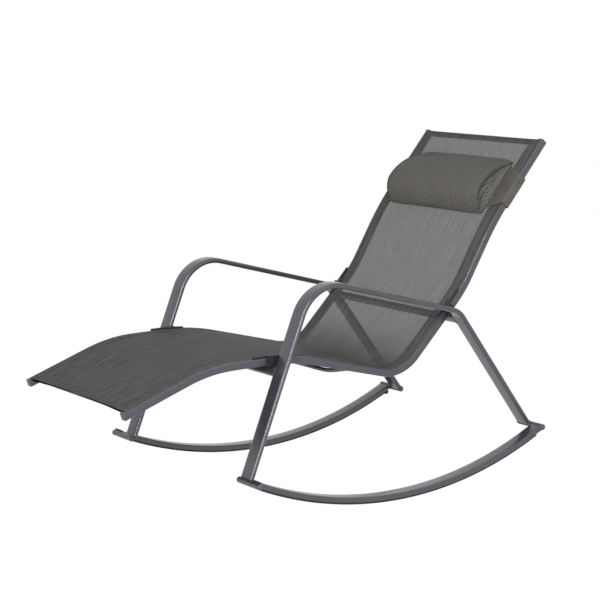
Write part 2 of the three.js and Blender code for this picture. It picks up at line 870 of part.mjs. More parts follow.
for (const [word, side] of [
  ["left", -1],
  ["right", 1],
]) {
  add(`rocker_${word}`, rocker(side), steel);
  add(`rocker_tread_${word}`, tread(side), rubber);
  add(`rocker_stop_${word}`, stop(side), rubber);
  add(`stub_front_${word}`, stub(side, frontStub), steel);
  add(`stub_rear_${word}`, stub(side, rearStub), steel);
  add(`stub_plug_front_inner_${word}`, stubPlug(side, frontStub, -1), greyPlastic);
  add(`stub_plug_front_outer_${word}`, stubPlug(side, frontStub, 1), greyPlastic);
  add(`stub_plug_rear_inner_${word}`, stubPlug(side, rearStub, -1), greyPlastic);
  add(`stub_plug_rear_outer_${word}`, stubPlug(side, rearStub, 1), greyPlastic);
  add(`side_loop_${word}`, loop(side), steel);
  add(`rail_${word}`, rail(side), steel);
  add(`rail_cap_foot_${word}`, railCap(side, -1), greyPlastic);
  add(`rail_cap_head_${word}`, railCap(side, 1), greyPlastic);
  add(`keder_rod_${word}`, kederRod(side), plastic);
  add(`clamp_front_${word}`, clamp(side, frontBolt, -1, frontBlockLength), plastic);
  add(`clamp_rear_${word}`, clamp(side, rearBolt, 1, rearBlockLength), plastic);
  add(`clamp_bolt_front_${word}`, clampBolt(side, frontBolt), zinc);
  add(`clamp_bolt_rear_${word}`, clampBolt(side, rearBolt), zinc);
}
add("front_crossbar", crossbar(frontBolt, -1), steel);
add("rear_crossbar", crossbar(rearBolt, 1), steel);
add("top_cross_tube", sleeveTube(railLength - headTubeInset), steel);
add("foot_spreader_tube", sleeveTube(footTubeInset), steel);
add("seat_bow_spreader", bowSpreader(), steel);
add("sling", sling(), mesh);
add("headrest_pillow", pillow(), padded);
add("headrest_band", band(), mesh);

// The origin lies under the middle of the whole chair
const whole = new THREE.Box3().setFromObject(group);
group.position.set(-(whole.min.x + whole.max.x) / 2, 0, -whole.min.z);

export default group;
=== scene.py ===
import functools
import math

import bmesh
import bpy
from mathutils import Matrix, Vector


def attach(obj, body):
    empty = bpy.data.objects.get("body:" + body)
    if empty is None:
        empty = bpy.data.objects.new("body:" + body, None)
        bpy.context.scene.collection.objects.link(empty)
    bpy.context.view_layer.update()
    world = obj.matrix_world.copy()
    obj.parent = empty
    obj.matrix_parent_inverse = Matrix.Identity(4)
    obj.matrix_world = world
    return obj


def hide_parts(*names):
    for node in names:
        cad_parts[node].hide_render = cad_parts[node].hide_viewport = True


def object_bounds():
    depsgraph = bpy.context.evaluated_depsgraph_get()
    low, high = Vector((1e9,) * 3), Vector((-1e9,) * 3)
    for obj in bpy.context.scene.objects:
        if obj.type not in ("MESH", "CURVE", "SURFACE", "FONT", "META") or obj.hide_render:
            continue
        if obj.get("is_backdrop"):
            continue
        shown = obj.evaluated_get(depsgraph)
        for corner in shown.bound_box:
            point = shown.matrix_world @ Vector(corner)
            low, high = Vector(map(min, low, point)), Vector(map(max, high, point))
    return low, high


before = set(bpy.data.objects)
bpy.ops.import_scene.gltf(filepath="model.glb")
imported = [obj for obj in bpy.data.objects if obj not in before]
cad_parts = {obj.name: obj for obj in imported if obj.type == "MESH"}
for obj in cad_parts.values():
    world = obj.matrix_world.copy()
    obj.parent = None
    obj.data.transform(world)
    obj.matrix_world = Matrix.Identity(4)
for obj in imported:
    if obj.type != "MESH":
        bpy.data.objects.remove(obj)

cad_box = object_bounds()
scene = bpy.context.scene
rad = math.radians

# Everything is in metres. X runs from the foot end to the head end, Y from the sitter's
# left to the right, Z up. Angles are in degrees.

# The chair's main lines, with X counted from the front leg's foot until it is shifted
SHIFT_X = -0.3614562
SHIFT_Z = -0.0005550

ROCKER_RADIUS = 1.1777
ROCKER_FRONT_TURN = 23.485
ROCKER_REAR_TURN = 26.248
ROCKER_MIDDLE = 0.3505
ROCKER_WIDTH = 0.042
ROCKER_THICKNESS = 0.015
ROCKER_CORNER = 0.0042
FLOOR_RADIUS = 1.19
TREAD_WIDTH = 0.036
TREAD_TOP = -0.0078
TREAD_BOTTOM = -0.0123
TREAD_CHAMFER = 0.0012
TREAD_FRONT_INSET = 0.012
TREAD_REAR_INSET = 0.028

STUB_RADIUS = 0.0085
STUB_INNER_END = 0.2745
STUB_OUTER_END = 0.3715
FRONT_STUB_AHEAD = 0.0095
FRONT_STUB_DROP = 0.004
REAR_STUB_BEHIND = 0.0018
PLUG_HEAD = 0.003
PLUG_SEAT = 0.0003
PLUG_STEP = 0.002
PLUG_DEPTH = 0.008
TUBE_RIM = 0.0004

LOOP_MIDDLE = 0.29475
LOOP_WIDTH = 0.0485
LOOP_THICKNESS = 0.0145
LEG_SLOPE = 68.7
LEG_FOOT = 0.1065
ARM_FRONT_X = 0.2
ARM_FRONT_RADIUS = 0.113
ARM_SLOPE = -14.4
ARM_LENGTH = 0.521
ARM_REAR_RADIUS = 0.068

RAIL_INNER = 0.242
RAIL_OUTER = 0.262
RAIL_HEIGHT = 0.021
RAIL_CORNER = 0.003
RAIL_CREST = 0.005
RAIL_START = (-0.345, 0.322)
RAIL_RISE = 19.75
RAIL_BENDS = (
    (0.1943, 0.447, -18.61),
    (0.1065, 0.635, -14.84),
    (0.2334, 0.117, 59.2),
    (0.1933, 0.377, 13.79),
    (0.1068, 0.821, -9.5),
    (0.2188, 0, 0),
)
SLOT_DEPTH = 0.0047
SLOT_MIDDLE = 0.252
SLOT_RADIUS = 0.0032
SLOT_MOUTH = 0.003
BEAD_RADIUS = 0.0026

SLING_HALF_THICK = 0.0005
HEM_HALF_THICK = 0.001
HEM_WIDTH = 0.022
CLOTH_HEIGHT = 0.0013
FOOT_TUBE_INSET = 0.016
HEAD_TUBE_INSET = 0.005
TUBE_RADIUS = 0.004
SLEEVE_RADIUS = 0.0055
SLEEVE_DEPTH = 0.0037
SLEEVE_SEAM = 0.0105

BOLT_DEPTH = 0.0125
CROSSBAR_DROP = 0.027
CROSSBAR_WIDTH = 0.027
CROSSBAR_THICKNESS = 0.014
BOW_FROM_BOLT = 0.275
BOW_DEPTH = 0.013
BOW_DROP = 0.025
BOW_SHOULDER = 0.108
BOW_BEND = 0.034
BOW_RADIUS = 0.006
BOW_STEPS = 48

PILLOW_LENGTH = 0.41
PILLOW_HEIGHT = 0.2
PILLOW_DEPTH = 0.061
PILLOW_FROM_HEAD = 0.08
PILLOW_CROWN = 0.32
BAND_FROM_HEAD = 0.179
BAND_WIDE = 0.158
BAND_NARROW = 0.103
BAND_THICK = 0.0018

# The turn from one place to the next on a bend, and the stride on a straight run
LOOP_STEP = 2.0
ROCKER_STEP = 0.8
RAIL_STEP = 1.5
FINE_STEP = 1.0
FINE_STRIDE = 0.008

SIDES = (("left", -1), ("right", 1))


# Routes in the XZ plane


class Station:
    """A place on a route: where it is, its slope and how far along it lies."""

    def __init__(self, x, z, slope, s):
        self.x, self.z, self.slope, self.s = x, z, slope, s
        self.along = Vector((math.cos(slope), 0, math.sin(slope)))
        self.up = Vector((-math.sin(slope), 0, math.cos(slope)))

    def at(self, y, above=0.0, ahead=0.0):
        base = Vector((self.x, y, self.z))
        return base + self.up * above + self.along * ahead


def route(x, z, slope, bends, step, stride=0.0):
    """Straight runs and round bends from a start point, as (run, radius, turn)."""
    s = 0.0
    stations = [Station(x, z, slope, s)]
    for run, radius, turn in bends:
        if run:
            parts = max(1, math.ceil(run / stride)) if stride else 1
            for _ in range(parts):
                x += run / parts * math.cos(slope)
                z += run / parts * math.sin(slope)
                s += run / parts
                stations.append(Station(x, z, slope, s))
        if turn:
            reach = math.copysign(radius, turn)
            centre_x = x - reach * math.sin(slope)
            centre_z = z + reach * math.cos(slope)
            parts = math.ceil(abs(turn) / step)
            for k in range(1, parts + 1):
                at = slope + rad(turn) * k / parts
                s += radius * rad(abs(turn)) / parts
                x = centre_x + reach * math.sin(at)
                z = centre_z - reach * math.cos(at)
                stations.append(Station(x, z, at, s))
            slope += rad(turn)
    return stations


def route_through(corners, radii):
    """A route through corner points, each corner rounded to its radius."""
    runs = [(b[0] - a[0], b[1] - a[1]) for a, b in zip(corners, corners[1:])]
    slopes = [math.atan2(dz, dx) for dx, dz in runs]
    lengths = [math.hypot(dx, dz) for dx, dz in runs]
    turns = [math.remainder(b - a, 2 * math.pi) for a, b in zip(slopes, slopes[1:])]
    trims = [r * abs(math.tan(t / 2)) for r, t in zip(radii, turns)]
    bends = []
    for k, length in enumerate(lengths):
        before = trims[k - 1] if k else 0.0
        after = trims[k] if k < len(trims) else 0.0
        turn = math.degrees(turns[k]) if k < len(turns) else 0.0
        bends.append((length - before - after, radii[k] if turn else 0, turn))
    return route(*corners[0], slopes[0], bends, LOOP_STEP)


def along(stations, s):
    """The station at a distance along a route."""
    for a, b in zip(stations, stations[1:]):
        if b.s >= s or b is stations[-1]:
            t = (s - a.s) / (b.s - a.s)
            slope = a.slope + (b.slope - a.slope) * t
            return Station(a.x + (b.x - a.x) * t, a.z + (b.z - a.z) * t, slope, s)


def between(stations, start, end):
    inner = [each for each in stations if start + 1e-6 < each.s < end - 1e-6]
    return [along(stations, start), *inner, along(stations, end)]


arc_x = ROCKER_RADIUS * math.sin(rad(ROCKER_FRONT_TURN)) + SHIFT_X - FRONT_STUB_AHEAD
arc_z = FLOOR_RADIUS + SHIFT_Z
rocker_front = (
    SHIFT_X - FRONT_STUB_AHEAD,
    arc_z - ROCKER_RADIUS * math.cos(rad(ROCKER_FRONT_TURN)),
)
front_stub = (rocker_front[0], rocker_front[1] - FRONT_STUB_DROP)
rear_stub = (
    arc_x + ROCKER_RADIUS * math.sin(rad(ROCKER_REAR_TURN)),
    arc_z - ROCKER_RADIUS * math.cos(rad(ROCKER_REAR_TURN)),
)
rocker_route = route(
    *rocker_front,
    -rad(ROCKER_FRONT_TURN),
    [(0, ROCKER_RADIUS, ROCKER_FRONT_TURN + ROCKER_REAR_TURN)],
    ROCKER_STEP,
)
leg_feet = ((SHIFT_X, LEG_FOOT + SHIFT_Z), (rear_stub[0] - REAR_STUB_BEHIND, rear_stub[1]))
arm_front = (SHIFT_X + ARM_FRONT_X, leg_feet[0][1] + ARM_FRONT_X * math.tan(rad(LEG_SLOPE)))
arm_rear = (
    arm_front[0] + ARM_LENGTH * math.cos(rad(ARM_SLOPE)),
    arm_front[1] + ARM_LENGTH * math.sin(rad(ARM_SLOPE)),
)
loop_route = route_through(
    [leg_feet[0], arm_front, arm_rear, leg_feet[1]], [ARM_FRONT_RADIUS, ARM_REAR_RADIUS]
)
rail_start = RAIL_START[0] + SHIFT_X, RAIL_START[1] + SHIFT_Z, rad(RAIL_RISE)
rail_route = route(*rail_start, RAIL_BENDS, RAIL_STEP)
rail_length = rail_route[-1].s
fine_rail = route(*rail_start, RAIL_BENDS, FINE_STEP, FINE_STRIDE)


def crossing(depth, last):
    """Where the loop's line crosses the rail's line lowered by a depth."""
    found = []
    for a, b in zip(rail_route, rail_route[1:]):
        p, q = a.at(0, -depth), b.at(0, -depth)
        for c, d in zip(loop_route, loop_route[1:]):
            cross = (q.x - p.x) * (d.z - c.z) - (q.z - p.z) * (d.x - c.x)
            if abs(cross) < 1e-12:
                continue
            t = ((c.x - p.x) * (d.z - c.z) - (c.z - p.z) * (d.x - c.x)) / cross
            w = ((c.x - p.x) * (q.z - p.z) - (c.z - p.z) * (q.x - p.x)) / cross
            if 0 <= t <= 1 and 0 <= w <= 1:
                found.append((a.s + (b.s - a.s) * t, c.s + (d.s - c.s) * w))
    return found[-1 if last else 0]


front_bolt = crossing(BOLT_DEPTH, False)
rear_bolt = crossing(BOLT_DEPTH, True)


# Outlines, as (across, above), counterclockwise


def arc(a, b, radius, start, end, steps):
    angles = [rad(start + (end - start) * k / steps) for k in range(steps + 1)]
    return [(a + radius * math.cos(t), b + radius * math.sin(t)) for t in angles]


def rounded_box(width, height, corner, steps=5):
    a, b = width / 2 - corner, height / 2 - corner
    return (
        arc(a, -b, corner, -90, 0, steps)
        + arc(a, b, corner, 0, 90, steps)
        + arc(-a, b, corner, 90, 180, steps)
        + arc(-a, -b, corner, 180, 270, steps)
    )


def flat_oval(width, thickness, steps=14):
    reach = (width - thickness) / 2
    return arc(reach, 0, thickness / 2, -90, 90, steps) + arc(
        -reach, 0, thickness / 2, 90, 270, steps
    )


def shifted(outline, across, above=0.0):
    return [(a + across, b + above) for a, b in outline]


def mirrored(outline):
    return [(-a, b) for a, b in reversed(outline)]


def sided(side, outline):
    return outline if side > 0 else mirrored(outline)


def beside(points, k):
    """The points before and after a point of a line, or the point itself at an end."""
    return points[max(k - 1, 0)], points[min(k + 1, len(points) - 1)]


# Meshes


def kept(bm, name):
    """The plain mesh of an edit mesh, which is freed."""
    mesh = bpy.data.meshes.new(name)
    bm.to_mesh(mesh)
    bm.free()
    return mesh


def mapped(face, uv, places):
    """Gives the corners of a face their places on the UV map."""
    for loop, place in zip(face.loops, places):
        loop[uv].uv = place


def shell(name, rings, crease=35, lengths=None):
    """A closed mesh through rings of points, all of one count, each end filled by a fan.
    The UV map runs round the rings and along them, in metres."""
    bm = bmesh.new()
    uv = bm.loops.layers.uv.new("UVMap")
    count = len(rings[0])
    rows = [[bm.verts.new(p) for p in ring] for ring in rings]
    round_way = [0.0]
    for i in range(count):
        step = (Vector(rings[0][(i + 1) % count]) - Vector(rings[0][i])).length
        round_way.append(round_way[-1] + step)
    if lengths is None:
        lengths = [0.0]
        for a, b in zip(rings, rings[1:]):
            lengths.append(lengths[-1] + (Vector(b[0]) - Vector(a[0])).length)
    for k, (low, high) in enumerate(zip(rows, rows[1:])):
        for i in range(count):
            j = (i + 1) % count
            face = bm.faces.new((low[i], low[j], high[j], high[i]))
            across = (round_way[i], round_way[i + 1], round_way[i + 1], round_way[i])
            away = (lengths[k], lengths[k], lengths[k + 1], lengths[k + 1])
            mapped(face, uv, zip(across, away))
    for row, flip in ((rows[0], True), (rows[-1], False)):
        middle = bm.verts.new(sum((v.co for v in row), Vector()) / count)
        for i in range(count):
            a, b = row[i], row[(i + 1) % count]
            face = bm.faces.new((b, a, middle) if flip else (a, b, middle))
            mapped(face, uv, [vert.co.xy for vert in face.verts])
    bm.normal_update()
    for face in bm.faces:
        face.smooth = True
    mesh = kept(bm, name)
    mesh.set_sharp_from_angle(angle=rad(crease))
    return mesh


def swept(name, stations, outline, start=None, end=None, crease=35):
    """A closed tube of an outline along a route. start and end say how far each end's
    points are trimmed, from their height above the route's line."""
    rings = []
    for station in stations:
        trim = start if station is stations[0] else end if station is stations[-1] else None
        ring = [station.at(a, b, trim(b) if trim else 0.0) for a, b in outline]
        rings.append([tuple(p) for p in ring])
    return shell(name, rings, crease, [each.s for each in stations])


def joined(name, meshes):
    """Several meshes as one."""
    bm = bmesh.new()
    for mesh in meshes:
        bm.from_mesh(mesh)
    for mesh in meshes:
        bpy.data.meshes.remove(mesh)
    return kept(bm, name)


def placed(name, data):
    """A new object in the scene."""
    obj = bpy.data.objects.new(name, data)
    scene.collection.objects.link(obj)
    return obj


def settled(carrier):
    """The mesh that an object's modifiers give. The object itself goes."""
    evaluated = carrier.evaluated_get(bpy.context.evaluated_depsgraph_get())
    out = bpy.data.meshes.new_from_object(evaluated)
    bpy.data.objects.remove(carrier)
    return out


def piece(name, mesh, look, finish, body="chair", stands_for=()):
    """A finished piece: its object, material, body and the CAD nodes it stands for."""
    obj = placed(name, mesh)
    mesh.materials.clear()
    mesh.materials.append(look)
    for polygon in mesh.polygons:
        polygon.material_index = 0
    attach(obj, body)
    if stands_for:
        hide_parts(*stands_for)
    return obj


# Materials


class Wiring:
    """Short hands for building a node tree."""

    def __init__(self, tree):
        self.tree = tree

    def new(self, kind, given=(), **settings):
        """A node with its settings made and its inputs given, as numbers or as links."""
        node = self.tree.nodes.new(kind)
        for key, value in settings.items():
            setattr(node, key, value)
        return self.fill(node, dict(given))

    def fill(self, node, given):
        for key, value in given.items():
            if isinstance(value, bpy.types.NodeSocket):
                self.tree.links.new(value, node.inputs[key])
            else:
                node.inputs[key].default_value = value
        return node

    def math(self, operation, a, b=0.0, c=0.0, clamp=False):
        given = enumerate((a, b, c))
        return self.new("ShaderNodeMath", given, operation=operation, use_clamp=clamp).outputs[0]

    def mix(self, factor, a, b):
        return self.new("ShaderNodeMix", {0: factor, 6: a, 7: b}, data_type="RGBA").outputs[2]

    def times(self, vector, number):
        given = {0: vector, "Scale": number}
        return self.new("ShaderNodeVectorMath", given, operation="SCALE").outputs[0]

    def noise(self, vector, scale, detail, roughness):
        given = {"Vector": vector, "Scale": scale, "Detail": detail, "Roughness": roughness}
        return self.new("ShaderNodeTexNoise", given).outputs["Fac"]

    def stretched(self, vector, scale):
        return self.new("ShaderNodeMapping", {"Vector": vector, "Scale": scale}).outputs["Vector"]

    def range(self, value, low, high, to_low, to_high):
        given = enumerate((value, low, high, to_low, to_high))
        return self.new("ShaderNodeMapRange", given).outputs[0]


def network(name, kind, inputs, outputs):
    """An empty node group, with its inputs and outputs given by name and kind."""
    tree = bpy.data.node_groups.new(name, kind)
    for way, sockets in (("INPUT", inputs), ("OUTPUT", outputs)):
        for label, socket in sockets.items():
            tree.interface.new_socket(label, in_out=way, socket_type="NodeSocket" + socket)
    w = Wiring(tree)
    return tree, w, w.new("NodeGroupInput").outputs, w.new("NodeGroupOutput")


def make_open_weave():
    """Yarns that pass over and under each other: their height, the open spots between
    them, and the shade that varies from yarn to yarn."""
    tree, w, given, sink = network(
        "open_weave", "ShaderNodeTree", {"Place": "Vector", "Pitch": "Float"},
        dict.fromkeys(("Height", "Openness", "Streaks"), "Float")
    )
    roundness, rise = 0.6, 0.7
    most_open, least_open = 0.45, 0.08
    thin, long = 300, 9
    lengthways_share, crossways_share = 0.82, 0.18

    split = w.new("ShaderNodeSeparateXYZ", {0: given["Place"]})
    waves = []
    for k in range(2):
        yarns = w.math("DIVIDE", split.outputs[k], given["Pitch"])
        waves.append(w.math("SINE", w.math("MULTIPLY", yarns, math.pi)))
    over = w.math("MULTIPLY_ADD", w.math("MULTIPLY", *waves), 0.5, 0.5)
    under = w.math("SUBTRACT", 1.0, over)
    warp, weft = (w.math("POWER", w.math("ABSOLUTE", wave), roundness) for wave in waves)
    tall_warp = w.math("MULTIPLY", warp, w.math("MULTIPLY_ADD", over, rise, 1 - rise))
    tall_weft = w.math("MULTIPLY", weft, w.math("MULTIPLY_ADD", under, rise, 1 - rise))
    corner = w.math("MAXIMUM", warp, weft)
    lengthways = w.noise(w.stretched(given["Place"], (thin, long, 1)), 1.0, 2.0, 0.6)
    crossways = w.noise(w.stretched(given["Place"], (long, thin, 1)), 1.0, 1.0, 0.6)
    lengthways = w.math("MULTIPLY", lengthways, lengthways_share)
    both = w.math("MULTIPLY_ADD", crossways, crossways_share, lengthways)
    w.fill(sink, {
        "Height": w.math("MAXIMUM", tall_warp, tall_weft),
        "Openness": w.range(corner, 0.42, 0.92, most_open, least_open),
        "Streaks": w.range(both, 0.4, 0.6, 0.0, 1.0),
    })
    return tree


def make_fine_grain():
    """Fine bumps with slow, soft clouds over them, for coats and mouldings."""
    tree, w, given, sink = network(
        "fine_grain", "ShaderNodeTree", {"Place": "Vector", "Grain": "Float"},
        dict.fromkeys(("Height", "Clouds"), "Float")
    )
    fine = w.times(given["Place"], given["Grain"])
    clouds = w.noise(given["Place"], 9.0, 4.0, 0.6)
    w.fill(sink, {
        "Height": w.noise(fine, 1.0, 3.0, 0.55),
        "Clouds": w.range(clouds, 0.35, 0.65, 0.0, 1.0),
    })
    return tree


open_weave = make_open_weave()
fine_grain = make_fine_grain()


def blank(name):
    look = bpy.data.materials.new(name)
    look.use_nodes = True
    return look, Wiring(look.node_tree), look.node_tree.nodes["Principled BSDF"]


def bumped(w, height, distance, strength=1.0):
    given = {"Height": height, "Distance": distance, "Strength": strength}
    return w.new("ShaderNodeBump", given).outputs[0]


COAT_ROUGHNESS = 0.21
YARN_GLOSS = 0.08


def coated(name, dark, light, rough, grain, bump, coat=0.0, metal=0.0):
    """A grained coat or moulding, darker and lighter in soft clouds."""
    look, w, shader = blank(name)
    place = w.new("ShaderNodeTexCoord").outputs["Object"]
    grained = w.new("ShaderNodeGroup", node_tree=fine_grain)
    w.fill(grained, {"Place": place, "Grain": grain})
    clouds = grained.outputs["Clouds"]
    w.fill(shader, {
        "Base Color": w.mix(clouds, (*dark, 1), (*light, 1)),
        "Roughness": w.range(clouds, 0.0, 1.0, *rough),
        "Metallic": metal,
        "Coat Weight": coat,
        "Coat Roughness": COAT_ROUGHNESS,
        "Normal": bumped(w, grained.outputs["Height"], bump),
    })
    return look


def woven(name, dark, light, pitch, painted_shade_and_highlight, see_through=0.0):
    """Coated yarns on the piece's own UV map, their colour scaled by the weave's height:
    painted shade in the low spots between the yarns and a painted highlight on their
    crowns. In a thin cloth the open spots let light through, less of it where the piece
    says that more layers lie on each other. Of its two faces only the near one counts,
    so the back of each face is clear."""
    look, w, shader = blank(name)
    place = w.new("ShaderNodeUVMap", uv_map="UVMap").outputs["UV"]
    weave = w.new("ShaderNodeGroup", node_tree=open_weave)
    w.fill(weave, {"Place": place, "Pitch": pitch})
    height = weave.outputs["Height"]
    yarn = w.mix(weave.outputs["Streaks"], (*dark, 1), (*light, 1))
    w.fill(shader, {
        # Painted shade and highlight: the yarn colour is scaled by the weave's height
        "Base Color": w.times(yarn, w.range(height, 0.0, 1.0, *painted_shade_and_highlight)),
        "Roughness": w.range(height, 0.0, 1.0, 0.75, 0.5),
        "Specular IOR Level": YARN_GLOSS,
        "Normal": bumped(w, height, pitch * 0.25, 0.8),
    })
    if see_through:
        layers = w.new("ShaderNodeAttribute", attribute_name="layers").outputs["Fac"]
        clear = w.math("MULTIPLY", weave.outputs["Openness"], see_through, clamp=True)
        shut = w.math("SUBTRACT", 1.0, w.math("POWER", clear, layers))
        behind = w.new("ShaderNodeNewGeometry").outputs["Backfacing"]
        near = w.math("SUBTRACT", 1.0, behind)
        w.fill(shader, {"Alpha": w.math("MULTIPLY", shut, near)})
    return look


powder_coat = coated(
    "powder_coat", (0.08, 0.077, 0.092), (0.094, 0.09, 0.107), (0.24, 0.3), 1100, 0.000004,
    coat=0.3, metal=0.45
)
weld_coat = coated(
    "coated_weld", (0.07, 0.069, 0.08), (0.092, 0.09, 0.104), (0.4, 0.5), 900, 0.0001
)
black_nylon = coated(
    "black_nylon", (0.007, 0.006, 0.008), (0.012, 0.011, 0.014), (0.5, 0.6), 1700, 0.00005
)
grey_nylon = coated(
    "grey_nylon", (0.085, 0.084, 0.098), (0.11, 0.108, 0.125), (0.45, 0.55), 1700, 0.00005
)
tread_rubber = coated(
    "tread_rubber", (0.01, 0.01, 0.011), (0.018, 0.018, 0.019), (0.65, 0.8), 1100, 0.0001
)
zinc_plate = coated(
    "zinc_plate", (0.3, 0.3, 0.31), (0.42, 0.42, 0.43), (0.25, 0.4), 1500, 0.00003, metal=1.0
)
thread = coated(
    "sewing_thread", (0.035, 0.033, 0.03), (0.06, 0.058, 0.052), (0.6, 0.7), 2500, 0.00003
)
pale_thread = coated(
    "pale_thread", (0.3, 0.295, 0.28), (0.42, 0.415, 0.4), (0.6, 0.7), 2500, 0.00003
)
# After each cloth's pitch comes its range of painted shade and highlight, by which the weave's
# height scales its colour; the pillow's and band's wide ranges paint strong highlights on their
# coarse yarns.
sling_cloth = woven(
    "sling_cloth", (0.068, 0.064, 0.0625), (0.13, 0.1225, 0.12), 0.0016, (0.8, 1.1), 0.95
)
pillow_cloth = woven(
    "pillow_cloth", (0.1, 0.0955, 0.0885), (0.12, 0.115, 0.107), 0.0056, (0.0, 2.1)
)
band_cloth = woven(
    "band_cloth", (0.075, 0.071, 0.066), (0.11, 0.105, 0.098), 0.008, (0.0, 2.4)
)


def steel(name, mesh, node):
    """A powder-coated tube that stands for a CAD node."""
    piece(name, mesh, powder_coat, "powder_coated_steel", stands_for=[node])


# What follows a line: welds, pipings and stitches, grown by geometry nodes


def grower(name, *sizes):
    """A geometry tree that takes lines and sizes and gives a mesh. It starts with the
    lines as curves."""
    inputs = {"Lines": "Geometry", **dict.fromkeys(sizes, "Float"), "Look": "Material"}
    tree, w, given, sink = network(name, "GeometryNodeTree", inputs, {"Grown": "Geometry"})
    curve = w.new("GeometryNodeMeshToCurve", {0: given["Lines"]}).outputs[0]
    return tree, w, given, sink, curve


def ended(w, given, sink, geometry):
    """Realize Instances and Set Material, at the end of each tree."""
    real = w.new("GeometryNodeRealizeInstances", {0: geometry})
    smooth = w.new("GeometryNodeSetShadeSmooth", {0: real.outputs[0]})
    dressed = {"Geometry": smooth.outputs[0], "Material": given["Look"]}
    w.fill(sink, {0: w.new("GeometryNodeSetMaterial", dressed).outputs[0]})


def make_bead_grower():
    """A round bead along each line, thicker and thinner with each ripple."""
    tree, w, given, sink, curve = grower("bead_along_line", "Radius", "Ripple", "Wave")
    quarter = w.math("MULTIPLY", given["Ripple"], 0.25)
    spaced = {"Curve": curve, "Length": quarter}
    even = w.new("GeometryNodeResampleCurve", spaced, mode="LENGTH")
    place = w.new("GeometryNodeSplineParameter")
    turns = w.math("DIVIDE", place.outputs["Length"], given["Ripple"])
    wave = w.math("SINE", w.math("MULTIPLY", turns, 2 * math.pi))
    swollen = w.math("MULTIPLY_ADD", wave, given["Wave"], 1.0)
    sized = w.new("GeometryNodeSetCurveRadius", {"Curve": even.outputs[0], "Radius": swollen})
    circle = {"Resolution": 8, "Radius": given["Radius"]}
    round_section = w.new("GeometryNodeCurvePrimitiveCircle", circle)
    body = w.new("GeometryNodeCurveToMesh", {
        "Curve": sized.outputs[0], "Profile Curve": round_section.outputs[0], "Fill Caps": True
    })
    if "Scale" in body.inputs:
        w.fill(body, {"Scale": w.new("GeometryNodeInputRadius").outputs[0]})
    ended(w, given, sink, body.outputs[0])
    return tree


def make_stitch_grower():
    """Even stitches laid end to end along each line."""
    tree, w, given, sink, curve = grower("stitches_along_line", "Pitch", "Length", "Thickness")
    spaced = {"Curve": curve, "Length": given["Pitch"]}
    spots = w.new("GeometryNodeCurveToPoints", spaced, mode="LENGTH")
    ways = {"Vector": spots.outputs["Tangent"]}
    turned_to = w.new("FunctionNodeAlignRotationToVector", ways, axis="X")
    ball = w.new("GeometryNodeMeshUVSphere", {"Segments": 6, "Rings": 4, "Radius": 0.5})
    sizes = {0: given["Length"], 1: given["Thickness"], 2: given["Thickness"]}
    laid = w.new("GeometryNodeInstanceOnPoints", {
        "Points": spots.outputs["Points"],
        "Instance": ball.outputs[0],
        "Rotation": turned_to.outputs[0],
        "Scale": w.new("ShaderNodeCombineXYZ", sizes).outputs[0],
    })
    ended(w, given, sink, laid.outputs[0])
    return tree


bead_grower = make_bead_grower()
stitch_grower = make_stitch_grower()


def grown(name, tree, lines, look, closed=False, **values):
    """The plain mesh that a tree grows along the given lines of points."""
    mesh = bpy.data.meshes.new(name + "_lines")
    points, edges = [], []
    for line in lines:
        first = len(points)
        points += [tuple(p) for p in line]
        edges += [(k, k + 1) for k in range(first, len(points) - 1)]
        if closed:
            edges.append((len(points) - 1, first))
    mesh.from_pydata(points, edges, [])
    carrier = placed(name + "_lines", mesh)
    grow = carrier.modifiers.new("grow", "NODES")
    grow.node_group = tree
    given = {**values, "Look": look}
    for item in tree.interface.items_tree:
        if item.item_type == "SOCKET" and item.in_out == "INPUT" and item.name in given:
            grow[item.identifier] = given[item.name]
    out = settled(carrier)
    out.name = name
    bpy.data.meshes.remove(mesh)
    return out


STITCH = {"Pitch": 0.0045, "Length": 0.0034, "Thickness": 0.0006}
WELD = {"Radius": 0.0017, "Ripple": 0.0022, "Wave": 0.12}


# Rockers, treads and side loops


def coped(station, stub, way):
    """How far a tube's end is trimmed at each height to sit on a stub; way is 1 at the
    start of its line and -1 at the end."""
    offset = Vector((stub[0] - station.x, 0, stub[1] - station.z))
    ahead, middle = offset.dot(station.along), offset.dot(station.up)

    def trim(above):
        inside = STUB_RADIUS**2 - (above - middle) ** 2
        return way * max(0.0, way * ahead + math.sqrt(inside)) if inside > 0 else 0.0

    return trim


def end_ring(station, outline, trim):
    """The line where a tube's trimmed end meets what it stands on."""
    return [station.at(a, b, trim(b)) for a, b in outline]


def tread_section():
    edge, low = TREAD_WIDTH / 2, TREAD_BOTTOM + TREAD_CHAMFER
    sole = edge - TREAD_CHAMFER
    return [
        (-sole, TREAD_BOTTOM), (sole, TREAD_BOTTOM), (edge, low),
        (edge, TREAD_TOP), (-edge, TREAD_TOP), (-edge, low),
    ]


welds = []


def stand_on_stubs(node, line, outline):
    """A tube from the front stub to the rear one, with a weld round each end."""
    trims = coped(line[0], front_stub, 1), coped(line[-1], rear_stub, -1)
    steel(node + "_tube", swept(node, line, outline, *trims), node)
    for station, trim in zip((line[0], line[-1]), trims):
        welds.append(end_ring(station, outline, trim))


for word, side in SIDES:
    at = side * ROCKER_MIDDLE
    section = shifted(rounded_box(ROCKER_WIDTH, ROCKER_THICKNESS, ROCKER_CORNER), at)
    stand_on_stubs("rocker_" + word, rocker_route, section)
    stretch = between(rocker_route, TREAD_FRONT_INSET, rocker_route[-1].s - TREAD_REAR_INSET)
    tread = swept("tread_" + word, stretch, shifted(tread_section(), at))
    piece("tread_" + word + "_strip", tread, tread_rubber, "rubber",
          stands_for=["rocker_tread_" + word])

for word, side in SIDES:
    section = shifted(flat_oval(LOOP_WIDTH, LOOP_THICKNESS), side * LOOP_MIDDLE)
    stand_on_stubs("side_loop_" + word, loop_route, section)


